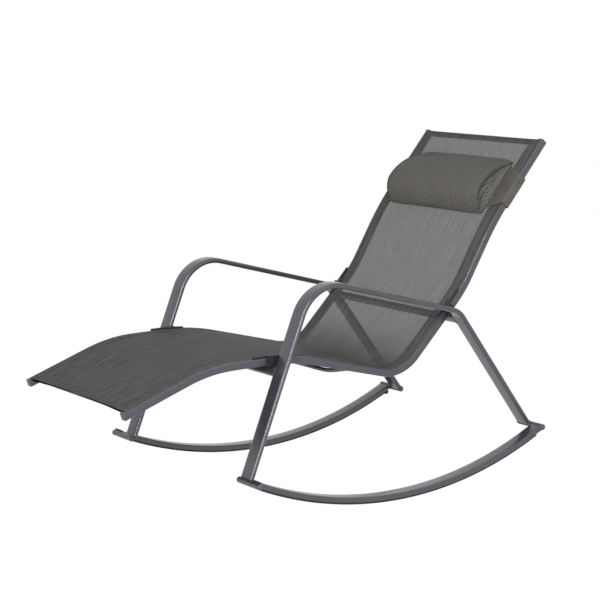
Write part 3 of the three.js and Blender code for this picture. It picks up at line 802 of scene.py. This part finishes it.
# Round pieces along Y: the stubs and their plugs


def turned(name, x, z, profile):
    """A round body on a line along Y, from (radius, y) pairs in the order of y."""
    sides = 36
    angles = [2 * math.pi * k / sides for k in range(sides)]
    rings = [
        [(x + r * math.sin(t), y, z + r * math.cos(t)) for t in angles] for r, y in profile
    ]
    return shell(name, rings)


def rod_profile(radius, low, high):
    """A round rod's outline, with a small chamfer at each end."""
    inner = radius - TUBE_RIM
    return [(inner, low), (radius, low + TUBE_RIM), (radius, high - TUBE_RIM), (inner, high)]


def plug_profile(end, outward):
    """A plug's outline from the middle of its domed head to its end inside the tube."""
    dome = [(0.2, 1.0), (0.5, 0.97), (0.75, 0.85), (0.9, 0.6), (0.97, 0.3), (1.0, 0.0)]
    head = [(r * STUB_RADIUS, end + outward * (PLUG_SEAT + h * PLUG_HEAD)) for r, h in dome]
    neck = STUB_RADIUS - PLUG_STEP
    return head + [(neck, end), (neck, end - outward * PLUG_DEPTH)]


plugs = []
for end_word, (x, z) in (("front", front_stub), ("rear", rear_stub)):
    for word, side in SIDES:
        low, high = sorted((side * STUB_INNER_END, side * STUB_OUTER_END))
        node = f"stub_{end_word}_{word}"
        steel(node + "_tube", turned(node, x, z, rod_profile(STUB_RADIUS, low, high)), node)
        plugs.append(turned("plug", x, z, plug_profile(low, -1)))
        plugs.append(turned("plug", x, z, plug_profile(high, 1)[::-1]))
piece("stub_plugs", joined("stub_plugs", plugs), grey_nylon, "grey_plastic", stands_for=[
    f"stub_plug_{a}_{b}_{c}" for a in ("front", "rear") for b in ("inner", "outer")
    for c in ("left", "right")
])


# Rails


def rail_section(side):
    lip = math.degrees(math.asin(SLOT_MOUTH / 2 / SLOT_RADIUS))
    low, high = -RAIL_HEIGHT + RAIL_CORNER, -RAIL_CORNER
    near, far = RAIL_INNER + RAIL_CORNER, RAIL_OUTER - RAIL_CORNER
    return sided(side, [
        *arc(near, low, RAIL_CORNER, 180, 270, 5),
        *arc(far, low, RAIL_CORNER, -90, 0, 5),
        *arc(RAIL_OUTER - RAIL_CREST, -RAIL_CREST, RAIL_CREST, 0, 90, 7),
        (SLOT_MIDDLE + SLOT_MOUTH / 2, 0),
        *arc(SLOT_MIDDLE, -SLOT_DEPTH, SLOT_RADIUS, 90 - lip, lip - 270, 12),
        (SLOT_MIDDLE - SLOT_MOUTH / 2, 0),
        *arc(near, high, RAIL_CORNER, 90, 180, 5),
    ])


for word, side in SIDES:
    node = "rail_" + word
    steel(node + "_tube", swept(node, rail_route, rail_section(side)), node)


# Cross members


def cross_tube(name, station, outline, end):
    """A tube across the chair; end says how far out its end lies at each height."""
    rings = []
    for side in (1, -1):
        rings.append([tuple(station.at(side * end(b), b, a)) for a, b in outline])
    return shell(name, rings)


def loop_side(above):
    """The inner rounded side of a loop, at a height from its middle line."""
    half = LOOP_THICKNESS / 2
    return LOOP_MIDDLE - (LOOP_WIDTH - LOOP_THICKNESS) / 2 - math.sqrt(half**2 - above**2)


for name, bolt, down in (("front_crossbar", front_bolt, -1), ("rear_crossbar", rear_bolt, 1)):
    here = along(loop_route, bolt[1] + down * CROSSBAR_DROP)
    section = flat_oval(CROSSBAR_WIDTH, CROSSBAR_THICKNESS, 10)
    bar = cross_tube(name, here, section, loop_side)
    steel(name + "_tube", bar, name)
    for side in (1, -1):
        welds.append([here.at(side * loop_side(b), b, a) for a, b in section])


def round_tube(name, points, radius):
    """A round tube through points that lie in one plane across X."""
    sides = 20
    level = Vector((1, 0, 0))
    rings = []
    for k, p in enumerate(points):
        before, after = beside(points, k)
        up = (after - before).normalized().cross(level)
        ring = []
        for i in range(sides):
            t = 2 * math.pi * i / sides
            ring.append(tuple(p + level * radius * math.cos(t) + up * radius * math.sin(t)))
        rings.append(ring)
    return shell(name, rings, 40)


def bow_points():
    """The bow's line: a slope down from each rail, a bend, and level in the middle."""
    place = along(rail_route, front_bolt[0] + BOW_FROM_BOLT).at(0, -BOW_DEPTH)
    points = []
    for k in range(BOW_STEPS + 1):
        y = -RAIL_INNER + 2 * RAIL_INNER * k / BOW_STEPS
        inward = min(RAIL_INNER - abs(y), BOW_SHOULDER + BOW_BEND)
        bent = max(0.0, inward - BOW_SHOULDER + BOW_BEND)
        share = inward / BOW_SHOULDER - bent**2 / (4 * BOW_BEND * BOW_SHOULDER)
        points.append(Vector((place.x, y, place.z - BOW_DROP * share)))
    return points


bow_line = bow_points()
steel("seat_bow_tube", round_tube("bow", bow_line, BOW_RADIUS), "seat_bow_spreader")
for p in (bow_line[0], bow_line[-1]):
    circle = [(math.cos(rad(a)), math.sin(rad(a))) for a in range(0, 360, 12)]
    welds.append([(p.x + BOW_RADIUS * c, p.y, p.z + BOW_RADIUS * s) for c, s in circle])

for name, inset in (
    ("foot_spreader_tube", FOOT_TUBE_INSET), ("top_cross_tube", rail_length - HEAD_TUBE_INSET)
):
    middle = along(rail_route, inset).at(0, -SLEEVE_DEPTH)
    profile = rod_profile(TUBE_RADIUS, -RAIL_INNER, RAIL_INNER)
    steel(name + "_round", turned(name, middle.x, middle.z, profile), name)

weld_mesh = grown("welds", bead_grower, welds, weld_coat, closed=True, **WELD)
piece("welds", weld_mesh, weld_coat, "powder_coated_steel")


# The clamps' lips, then the mouldings and bolts, which keep the CAD's shape with eased edges

LIP_INNER, LIP_OUTER = 0.2445, 0.2545
LIP_UNDER, LIP_TOP = 0.0027, 0.006
LIP_CORNER = 0.0007
LIP_REACH = 0.0295


def clamp_lip(name, side, station):
    """The lip of a clamp's bar that reaches over the cloth's hem."""
    bar = rounded_box(LIP_OUTER - LIP_INNER, LIP_TOP - LIP_UNDER, LIP_CORNER, 3)
    section = sided(side, shifted(bar, (LIP_INNER + LIP_OUTER) / 2, (LIP_TOP + LIP_UNDER) / 2))
    stations = between(fine_rail, station.s - LIP_REACH, station.s + LIP_REACH)
    piece(name, swept(name, stations, section), black_nylon, "black_plastic")


def eased(node, look, finish, width):
    """A CAD node's own shape, with its sharp edges rounded."""
    bm = bmesh.new()
    bm.from_mesh(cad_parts[node].data)
    bmesh.ops.remove_doubles(bm, verts=bm.verts, dist=1e-5)
    bmesh.ops.dissolve_limit(bm, angle_limit=rad(1), verts=bm.verts, edges=bm.edges)
    carrier = placed(node + "_carrier", kept(bm, node + "_eased"))
    ease = carrier.modifiers.new("ease", "BEVEL")
    ease.width = width
    ease.segments = 2
    ease.limit_method = "ANGLE"
    ease.angle_limit = rad(40)
    out = settled(carrier)
    for polygon in out.polygons:
        polygon.use_smooth = True
    out.set_sharp_from_angle(angle=rad(35))
    piece(node + "_eased", out, look, finish, stands_for=[node])


for word, side in SIDES:
    for end, bolt in (("front", front_bolt), ("rear", rear_bolt)):
        clamp_lip("clamp_lip_" + end + "_" + word, side, along(fine_rail, bolt[0]))

MOULDINGS = (
    ("rail_cap_foot_", grey_nylon, "grey_plastic", 0.0006),
    ("rail_cap_head_", grey_nylon, "grey_plastic", 0.0006),
    ("clamp_front_", black_nylon, "black_plastic", 0.0007),
    ("clamp_rear_", black_nylon, "black_plastic", 0.0007),
    ("clamp_bolt_front_", zinc_plate, "zinc_plated_steel", 0.0003),
    ("clamp_bolt_rear_", zinc_plate, "zinc_plated_steel", 0.0003),
    ("rocker_stop_", tread_rubber, "rubber", 0.0006),
)
for word, _ in SIDES:
    for stem, look, finish, width in MOULDINGS:
        eased(stem + word, look, finish, width)


# Sling

PULL_REACH = 0.055
PULL_LEAST = 0.004
PULL_PLACES = 6
BELLY_EDGE = RAIL_INNER - 0.004
BELLY_SHAPE = 1.3
HEM_LINE = RAIL_INNER - HEM_WIDTH
HEM_STEP = 0.0006
HEM_REACH = 0.01
HEM_LAYERS = 2.2
EDGE_STEP = 0.0008
SLEEVE_GAP = 0.0005
SLEEVE_FLAP = 0.006
FLAP_UNDER = 2.2 * SLING_HALF_THICK
CLOSE_TO = 1.05
CLOSE_OVER = 0.43
CLOSE_MORE = 3.5
COLUMNS = 28


@functools.cache
def pulled(s):
    """How far the taut cloth leaves the rails' line half way between them."""
    here = along(fine_rail, s)
    reach = min(PULL_REACH, s, rail_length - s)
    if reach < PULL_LEAST:
        return Vector((0, 0, 0))
    total, weight = Vector((0, 0, 0)), 0.0
    for k in range(-PULL_PLACES, PULL_PLACES + 1):
        share = 1 - abs(k) / (PULL_PLACES + 1)
        each = along(fine_rail, s + reach * k / PULL_PLACES)
        total += Vector((each.x, 0, each.z)) * share
        weight += share
    return total / weight - Vector((here.x, 0, here.z))


def bellied(y):
    """The share of that pull at a place across the cloth."""
    return (1 - min(abs(y) / BELLY_EDGE, 1.0) ** 2) ** BELLY_SHAPE


def on_cloth(station, y, lift, ahead=0.0):
    """A place on the cloth, lifted off its middle surface."""
    return station.at(y, CLOTH_HEIGHT + lift, ahead) + pulled(station.s) * bellied(y)


def cloth_section(with_beads):
    """The cloth's outline: thin in the middle, doubled in the hems, which lie over the
    rails and turn down into their slots."""
    thin, thick = SLING_HALF_THICK, HEM_HALF_THICK
    columns = [HEM_LINE * (1 - 2 * k / COLUMNS) for k in range(1, COLUMNS)]
    if with_beads:
        neck = math.degrees(math.asin(thick / BEAD_RADIUS))
        over = [
            (RAIL_INNER - EDGE_STEP, thick), (RAIL_INNER, thick), (SLOT_MIDDLE - thick, thick)
        ]
        edge = [
            *[(a, -b) for a, b in over],
            *arc(SLOT_MIDDLE, -SLOT_DEPTH - CLOTH_HEIGHT, BEAD_RADIUS, 90 + neck, 450 - neck, 12),
            *arc(SLOT_MIDDLE - thick, -thick, 2 * thick, 0, 90, 6),
            *reversed(over[:2]),
        ]
    else:
        edge = [(RAIL_INNER - SLEEVE_GAP, -thick), (RAIL_INNER - SLEEVE_GAP, thick)]
    hem = HEM_LINE + HEM_STEP
    right = [(HEM_LINE, -thin), (hem, -thick), *edge, (hem, thick), (HEM_LINE, thin)]
    top = [(y, thin) for y in columns]
    bottom = [(y, -thin) for y in reversed(columns)]
    return right + top + mirrored(right) + bottom


def layered(mesh, section, stations):
    """Marks how many layers of yarn the light meets: the hems lie double, and the weave
    is closer towards the foot end, where the cloth carries the calves."""
    layers = mesh.attributes.new("layers", "FLOAT", "POINT")
    for k, value in enumerate(layers.data):
        ring, column = divmod(k, len(section))
        if ring >= len(stations):
            ring, column = len(stations) - 1, 0
        share = min(max((CLOSE_TO - stations[ring].s) / CLOSE_OVER, 0.0), 1.0)
        close = 1.0 + CLOSE_MORE * share * share * (3 - 2 * share)
        in_hem = abs(section[column][0]) > HEM_LINE + HEM_STEP / 2
        value.value = close * (HEM_LAYERS if in_hem else 1.0)


def panel_ring(station, section, ahead):
    """The outline at a station; at the foot end the hems reach ahead of the panel."""
    return [
        tuple(on_cloth(station, a, b, -ahead if abs(a) >= RAIL_INNER else 0)) for a, b in section
    ]


section = cloth_section(True)
panel_stations = between(fine_rail, FOOT_TUBE_INSET, rail_length - HEAD_TUBE_INSET)
rings = [panel_ring(panel_stations[0], section, HEM_REACH)]
rings += [panel_ring(station, section, 0) for station in panel_stations[1:]]
panel = shell("sling_panel", rings, 40, [each.s for each in panel_stations])
layered(panel, section, panel_stations)


def sleeve_line(inset):
    """The cloth's middle line round the tube, as (from the rail's end, above its top)."""
    middle = (inset, -SLEEVE_DEPTH)
    radius = SLEEVE_RADIUS - SLING_HALF_THICK
    seam = (inset + SLEEVE_SEAM, CLOTH_HEIGHT - FLAP_UNDER)
    off, above = seam[0] - middle[0], seam[1] - middle[1]
    leaves = math.degrees(math.atan2(above, off) - math.acos(radius / math.hypot(off, above)))
    flap = (seam[0] + SLEEVE_FLAP, seam[1])
    return [flap, seam] + arc(*middle, radius, leaves, -270, 30)


def sleeve(name, start, foot):
    """The cloth round one end's tube, swept along its own middle line."""
    line = sleeve_line(FOOT_TUBE_INSET if foot else HEAD_TUBE_INSET)
    if not foot:
        line = [(-s, n) for s, n in reversed(line)]
    places = [start.at(0, n, s) for s, n in line]
    stations = []
    for k, p in enumerate(places):
        before, after = beside(places, k)
        slope = math.atan2(after.z - before.z, after.x - before.x)
        s = stations[-1].s + (p - places[k - 1]).length if k else 0.0
        stations.append(Station(p.x, p.z, slope, s))
    outline = cloth_section(False)
    mesh = swept(name, stations, outline, crease=40)
    layered(mesh, outline, [start] * len(stations))
    return mesh


sling_mesh = joined("sling", [
    panel,
    sleeve("foot_sleeve", rail_route[0], True),
    sleeve("head_sleeve", rail_route[-1], False),
])
sling = piece("sling_cloth", sling_mesh, sling_cloth, "sling_mesh", stands_for=["sling"])

SEAM_INSET = 0.0025
HEM_SEAM_LIFT = 1.1
SLEEVE_SEAM_LIFTS = (1.2, -4.2)
SLEEVE_SEAM_GAP = 0.003
HALF_SLEEVE_SEAM = 0.22
SLEEVE_SEAM_STEPS = 40


def hem_seam(y, lift):
    """A seam along the cloth, just off one of its faces."""
    return [on_cloth(station, y, lift) for station in panel_stations]


def sleeve_seam(inset, lift):
    """A seam across the cloth, beside a sleeve."""
    station = along(fine_rail, inset)
    shares = [2 * k / SLEEVE_SEAM_STEPS - 1 for k in range(SLEEVE_SEAM_STEPS + 1)]
    return [on_cloth(station, HALF_SLEEVE_SEAM * share, lift) for share in shares]


from_tube = SLEEVE_SEAM + SLEEVE_SEAM_GAP
seam_lines = [
    hem_seam(side * (HEM_LINE + SEAM_INSET), face * HEM_HALF_THICK * HEM_SEAM_LIFT)
    for side in (1, -1) for face in (1, -1)
] + [
    sleeve_seam(inset, SLING_HALF_THICK * share)
    for inset in (FOOT_TUBE_INSET + from_tube, rail_length - HEAD_TUBE_INSET - from_tube)
    for share in SLEEVE_SEAM_LIFTS
]
sling_seams = grown("sling_seams", stitch_grower, seam_lines, thread, **STITCH)
sling_thread = piece("sling_seams", sling_seams, thread, "sling_mesh")


# Headrest: the pillow

head_end = rail_route[-1]
BACK_REST = 0.0021
PILLOW_STEPS = 72
BACK_STEPS = 34
FRONT_STEPS = 60
HALF_PILLOW = PILLOW_LENGTH / 2
CROWN = PILLOW_HEIGHT * PILLOW_CROWN
CROWN_UP = -PILLOW_HEIGHT + CROWN
FULL_ABOVE = 2.0
FULL_BELOW = 1.5
END_TUCK = 0.05
END_NARROWING = 0.07
END_CURVE = 2.2
END_RINGS = 7
END_FLAT = 0.6
END_STEEPNESS = 1.6
END_MIDDLE = (CROWN_UP + 0.035, 0.024)
END_DRAW = 0.011
FOLDS = 7
FOLD_DEPTH = 0.0022
FOLD_SHIFT = 1.3
SWELL_CAP = 0.005
SWELL_FRAMES = 20
SWELL = {
    "quality": 5, "mass": 0.3, "tension_stiffness": 25, "compression_stiffness": 15,
    "bending_stiffness": 0.6, "use_pressure": True, "uniform_pressure_force": 4,
    "vertex_group_mass": "held",
}


def on_back(y, up, off):
    """A place on the back: up from the pillow's top edge, and off the cloth."""
    return head_end.at(y, off + BACK_REST, up - PILLOW_FROM_HEAD)


def pillow_section():
    """Half-round outline as (up, off): up the flat back, then down the full front."""
    outline = []
    for k in range(BACK_STEPS + 1):
        outline.append((-PILLOW_HEIGHT + PILLOW_HEIGHT * k / BACK_STEPS, 0.0))
    for k in range(1, FRONT_STEPS):
        t = math.pi * k / FRONT_STEPS
        above = math.cos(t) > 0
        reach = PILLOW_HEIGHT - CROWN if above else CROWN
        fullness = math.sin(t) ** (FULL_ABOVE if above else FULL_BELOW)
        outline.append((CROWN_UP + reach * math.cos(t), PILLOW_DEPTH * fullness))
    return outline


def pillow_wrap(bm, uv, outline):
    """The cover round the pillow, in rows along it, a little smaller towards the ends."""
    rows = []
    for k in range(PILLOW_STEPS + 1):
        y = -HALF_PILLOW + PILLOW_LENGTH * k / PILLOW_STEPS
        near_end = max(0.0, (abs(y) - HALF_PILLOW + END_TUCK) / END_TUCK)
        share = 1 - END_NARROWING * near_end**END_CURVE
        row = []
        for up, off in outline:
            row.append(bm.verts.new(on_back(y, CROWN_UP + (up - CROWN_UP) * share, off * share)))
        rows.append(row)
    way = [0.0]
    for a, b in zip(outline, outline[1:] + outline[:1]):
        way.append(way[-1] + math.hypot(b[0] - a[0], b[1] - a[1]))
    for k in range(PILLOW_STEPS):
        v0, v1 = PILLOW_LENGTH * k / PILLOW_STEPS, PILLOW_LENGTH * (k + 1) / PILLOW_STEPS
        for i in range(len(outline)):
            j = (i + 1) % len(outline)
            face = bm.faces.new((rows[k][i], rows[k + 1][i], rows[k + 1][j], rows[k][j]))
            around = way[i], way[i], way[i + 1], way[i + 1]
            mapped(face, uv, zip((v0, v1, v1, v0), around))
    return rows


def end_face(bm, uv, corners, side):
    """A face of an end panel, facing out, with its yarns a little aslant."""
    face = bm.faces.new(corners if side < 0 else corners[::-1])
    places = [vert.co for vert in face.verts]
    mapped(face, uv, [(p.x * 0.8 + p.z * 0.6, p.z * 0.8 - p.x * 0.6) for p in places])


def pillow_end(bm, uv, outline, edge, side):
    """An end panel: rings drawn in from the seam, with soft folds, and a middle point."""
    count = len(outline)
    last = edge
    for r in range(1, END_RINGS + 1):
        share = 1 - r / (END_RINGS + END_FLAT)
        drawn = END_DRAW * math.sin(math.pi / 2 * min(1.0, (1 - share) * END_STEEPNESS))
        ring = []
        for i, (up, off) in enumerate(outline):
            t = 2 * math.pi * i / count
            fold = math.sin(FOLDS * t + FOLD_SHIFT * side) * math.sin(math.pi * (1 - share))
            inward = drawn + FOLD_DEPTH * fold
            narrow_up = up + (CROWN_UP - up) * END_NARROWING
            narrow_off = off * (1 - END_NARROWING)
            u = END_MIDDLE[0] + (narrow_up - END_MIDDLE[0]) * share
            o = END_MIDDLE[1] + (narrow_off - END_MIDDLE[1]) * share
            ring.append(bm.verts.new(on_back(side * (HALF_PILLOW - inward), u, o)))
        for i in range(count):
            j = (i + 1) % count
            end_face(bm, uv, (last[i], last[j], ring[j], ring[i]), side)
        last = ring
    centre = bm.verts.new(sum((v.co for v in last), Vector()) / count)
    for i in range(count):
        end_face(bm, uv, (last[i], last[(i + 1) % count], centre), side)


def pillow_mesh(outline):
    bm = bmesh.new()
    uv = bm.loops.layers.uv.new("UVMap")
    rows = pillow_wrap(bm, uv, outline)
    pillow_end(bm, uv, outline, rows[0], -1)
    pillow_end(bm, uv, outline, rows[-1], 1)
    for face in bm.faces:
        face.smooth = True
    return kept(bm, "headrest_pillow_soft")


pillow_outline = pillow_section()
soft_mesh = pillow_mesh(pillow_outline)
around = len(pillow_outline)
pillow = piece("headrest_pillow_soft", soft_mesh, pillow_cloth, "pillow_mesh", "headrest",
               ["headrest_pillow"])


def swell(obj):
    """Blows the cover up as cloth, held at its end seams, and keeps the mesh."""
    mesh = obj.data
    before = [v.co.copy() for v in mesh.vertices]
    held = obj.vertex_groups.new(name="held")
    for k in range(len(before)):
        row = k // around
        if row >= PILLOW_STEPS or row == 0:
            held.add([k], 1.0, "REPLACE")
        elif row in (1, PILLOW_STEPS - 1):
            held.add([k], 0.5, "REPLACE")
    cloth = obj.modifiers.new("swell", "CLOTH")
    for key, value in SWELL.items():
        setattr(cloth.settings, key, value)
    cloth.settings.effector_weights.gravity = 0
    cloth.point_cache.frame_start = 1
    cloth.point_cache.frame_end = SWELL_FRAMES
    for number in range(1, SWELL_FRAMES + 1):
        scene.frame_set(number)
    evaluated = obj.evaluated_get(bpy.context.evaluated_depsgraph_get())
    after = [v.co.copy() for v in evaluated.data.vertices]
    obj.modifiers.remove(cloth)
    scene.frame_set(1)
    for vertex, a, b in zip(mesh.vertices, before, after):
        move = b - a
        if move.length > SWELL_CAP:
            move = move.normalized() * SWELL_CAP
        place = a + move
        height = (place - head_end.at(0)).dot(head_end.up)
        if height < BACK_REST:
            place += head_end.up * (BACK_REST - height)
        vertex.co = place


swell(pillow)

end_rings = [
    [soft_mesh.vertices[row * around + k].co.copy() for k in range(around)]
    for row in (0, PILLOW_STEPS)
]
# The piping has no UV map, so the weave's painted shade is at its darkest there and the piping
# comes out nearly black, as painted shade between the stitches.
piping = grown("pillow_piping", bead_grower, end_rings, pillow_cloth, closed=True,
               Radius=0.0019, Ripple=0.003, Wave=0.05)
piece("pillow_piping", piping, pillow_cloth, "pillow_mesh", "headrest")
pillow_stitches = grown("pillow_stitches", stitch_grower, end_rings, pale_thread,
                        Pitch=0.0066, Length=0.0036, Thickness=0.0047)
piece("pillow_stitches", pillow_stitches, pale_thread, "pillow_mesh", "headrest")


# Headrest: the band round both rails

BAND_SIDE_GAP = 0.001
BAND_FRONT_GAP = 0.0009
BAND_BACK_GAP = 0.0036
BAND_DIP = 0.002
BAND_RUN_IN = 0.02
BAND_CORNER = 0.0045
BAND_STRETCH = 0.012
BAND_ROWS = 14
BAND_SEAM_INSET = 0.004
BAND_TUCK = 0.004
BAND_EDGE_THINNING = 0.45
BAND_EDGE_SHAPE = 8
band_outer = RAIL_OUTER + BAND_SIDE_GAP + BAND_THICK / 2
band_front = CLOTH_HEIGHT + HEM_HALF_THICK + BAND_FRONT_GAP + BAND_THICK / 2
band_back = -RAIL_HEIGHT - BAND_BACK_GAP - BAND_THICK / 2
band_start = HALF_PILLOW - BAND_TUCK


def rounded(a, b, c):
    """A corner at b between a and c, rounded off."""
    steps = 8
    p = b + (a - b).normalized() * BAND_CORNER
    q = b + (c - b).normalized() * BAND_CORNER
    shares = [k / steps for k in range(steps + 1)]
    return [tuple((1 - t) ** 2 * p + 2 * t * (1 - t) * b + t * t * q) for t in shares]


def band_line():
    """The strip's middle line as (y, above the rails), rounded at its corners."""
    half = [
        (band_start, band_front - BAND_DIP), (band_start + BAND_RUN_IN, band_front),
        (band_outer, band_front), (band_outer, band_back),
    ]
    corners = half + mirrored(half)
    points = corners[:2]
    for before, here, after in zip(corners[1:-2], corners[2:-1], corners[3:]):
        a, b, c = Vector(before), Vector(here), Vector(after)
        if abs((b - a).normalized().dot((c - b).normalized())) > 0.5:
            points.append(here)
        else:
            points += rounded(a, b, c)
    points.append(corners[-1])
    dense = [points[0]]
    for a, b in zip(points, points[1:]):
        dy, da = b[0] - a[0], b[1] - a[1]
        parts = max(1, math.ceil(math.hypot(dy, da) / BAND_STRETCH))
        for k in range(1, parts + 1):
            dense.append((a[0] + dy * k / parts, a[1] + da * k / parts))
    return dense


def band_half(y, above):
    """Half the strip's height: it narrows from the pillow's ends to the rails."""
    if above < 0:
        return BAND_NARROW / 2
    share = min(1.0, max(0.0, (abs(y) - band_start) / (RAIL_OUTER - band_start)))
    return (BAND_WIDE + (BAND_NARROW - BAND_WIDE) * share) / 2


def band_places():
    """Each place along the strip, as (y, above the rails, the way off its outer face)."""
    line = band_line()
    for k, (y, above) in enumerate(line):
        before, after = beside(line, k)
        dy, da = after[0] - before[0], after[1] - before[1]
        size = math.hypot(dy, da)
        yield y, above, (da / size, -dy / size)


def on_band(y, above, normal, lift, up):
    """A place on the strip, lifted off its middle line."""
    return head_end.at(y + normal[0] * lift, above + normal[1] * lift, up - BAND_FROM_HEAD)


def band_ring(y, above, normal):
    """The strip's outline at one place: up one face and down the other."""
    ring = []
    for face in (-1, 1):
        for k in range(BAND_ROWS + 1):
            share = k / BAND_ROWS if face < 0 else 1 - k / BAND_ROWS
            across = 2 * share - 1
            thinned = 1 - BAND_EDGE_THINNING * abs(across) ** BAND_EDGE_SHAPE
            lift = face * BAND_THICK / 2 * thinned
            ring.append(tuple(on_band(y, above, normal, lift, band_half(y, above) * across)))
    return ring


def band_seam(way):
    """A stitch line along one edge of the strip, on its outer face."""
    line = []
    for y, above, normal in band_places():
        up = way * (band_half(y, above) - BAND_SEAM_INSET)
        line.append(on_band(y, above, normal, BAND_THICK / 2, up))
    return line


band_mesh = shell("band", [band_ring(*place) for place in band_places()], 50)
band = piece("headrest_band_strap", band_mesh, band_cloth, "sling_mesh", "headrest",
             ["headrest_band"])
edge_lines = [band_seam(1), band_seam(-1)]
band_seams = grown("band_seams", stitch_grower, edge_lines, thread, **STITCH)
band_thread = piece("band_seams", band_seams, thread, "sling_mesh", "headrest")


# Stage: floor, sky, lamps and camera

FLOOR_TOP = -0.0006
FLOOR_REACH = 12
FLOOR_SHADE = 0.6
FLOOR_GLOW = 1.06
GLOW_SHARE = 0.93
SKY_LEVEL = 0.6
OVERHEAD_SHARE = 0.04
LAMPS = (
    ("front_box", (-3.1, -2.8, 1.8), (0.1, 0, 0.5), (0.8, 2.4), 90),
    ("side_box", (-1.0, -4.1, 1.3), (0.1, 0, 0.5), (0.4, 2.0), 30),
    ("crest_box", (-1.9, -3.1, 3.2), (0.4, -0.2, 0.7), (0.6, 0.5), 30),
    ("top_strip", (0.6, -1.8, 2.5), (0.0, -0.2, 0.4), (1.4, 0.3), 5),
    ("right_side", (3.4, 0.9, 1.2), (0.1, 0, 0.5), (0.6, 2.2), 6),
)
CAMERA_TURNS = (-35.994, 8.980, 0.359)
CAMERA_PLACE = (-2.8484, -3.9486, 1.2797)
CAMERA_LENS = 104.95


def seen_rays(w):
    """1 where the backdrop is seen by the camera, in a gloss or through an opening."""
    rays = w.new("ShaderNodeLightPath").outputs
    seen = w.math("MAXIMUM", rays["Is Camera Ray"], rays["Is Glossy Ray"])
    return w.math("MAXIMUM", seen, rays["Is Transmission Ray"])


def make_stage():
    """A pale floor that takes the chair's shadow and looks white."""
    look, w, shader = blank("pale_floor")
    w.fill(shader, {
        "Base Color": (FLOOR_SHADE, FLOOR_SHADE, FLOOR_SHADE, 1),
        "Roughness": 0.9,
        "Specular IOR Level": 0.1,
    })
    glow = w.new("ShaderNodeEmission", {"Strength": FLOOR_GLOW})
    blend = w.new("ShaderNodeMixShader", {
        0: w.math("MULTIPLY", seen_rays(w), GLOW_SHARE), 1: shader.outputs[0], 2: glow.outputs[0]
    })
    w.fill(look.node_tree.nodes["Material Output"], {"Surface": blend.outputs[0]})
    mesh = bpy.data.meshes.new("floor")
    corners = [(x * FLOOR_REACH, y * FLOOR_REACH, FLOOR_TOP)
               for x, y in ((-1, -1), (1, -1), (1, 1), (-1, 1))]
    mesh.from_pydata(corners, [], [(0, 1, 2, 3)])
    mesh.materials.append(look)
    floor = placed("floor", mesh)
    floor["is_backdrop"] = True


def make_sky():
    """A sky that looks white and lights the chair most from near the horizon."""
    world = bpy.data.worlds.new("sky")
    scene.world = world
    world.use_nodes = True
    w = Wiring(world.node_tree)
    way = w.new("ShaderNodeTexCoord").outputs["Generated"]
    up = w.new("ShaderNodeSeparateXYZ", {0: way}).outputs[2]
    lit = w.range(up, 0.0, 1.0, SKY_LEVEL, SKY_LEVEL * OVERHEAD_SHARE)
    level = w.range(seen_rays(w), 0.0, 1.0, lit, 1.0)
    w.fill(world.node_tree.nodes["Background"], {"Color": (1, 1, 1, 1), "Strength": level})


def lamp(name, place, towards, size, watts):
    data = bpy.data.lights.new(name, "AREA")
    data.shape = "RECTANGLE"
    data.size, data.size_y = size
    data.energy = watts
    obj = placed(name, data)
    obj.location = place
    way = Vector(towards) - Vector(place)
    obj.rotation_mode = "QUATERNION"
    obj.rotation_quaternion = way.to_track_quat("-Z", "Y")


def make_camera():
    """The camera, looking back along its azimuth and elevation, then rolled."""
    azimuth, elevation, roll = (rad(turn) for turn in CAMERA_TURNS)
    back = Vector((
        math.sin(azimuth) * math.cos(elevation),
        -math.cos(azimuth) * math.cos(elevation),
        math.sin(elevation),
    ))
    right = Vector((math.cos(azimuth), math.sin(azimuth), 0))
    up = back.cross(right)
    tilted_right = right * math.cos(roll) + up * math.sin(roll)
    tilted_up = up * math.cos(roll) - right * math.sin(roll)
    data = bpy.data.cameras.new("camera")
    data.sensor_width = 36
    data.lens = CAMERA_LENS
    data.clip_end = 100
    camera = placed("camera", data)
    camera.matrix_world = Matrix((tilted_right, tilted_up, back)).transposed().to_4x4()
    camera.location = CAMERA_PLACE
    scene.camera = camera


make_stage()
make_sky()
for each in LAMPS:
    lamp(*each)
make_camera()

scene.view_settings.view_transform = "Standard"
boxes = {"cad": cad_box, "visual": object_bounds()}
{key: [list(corner) for corner in box] for key, box in boxes.items()}
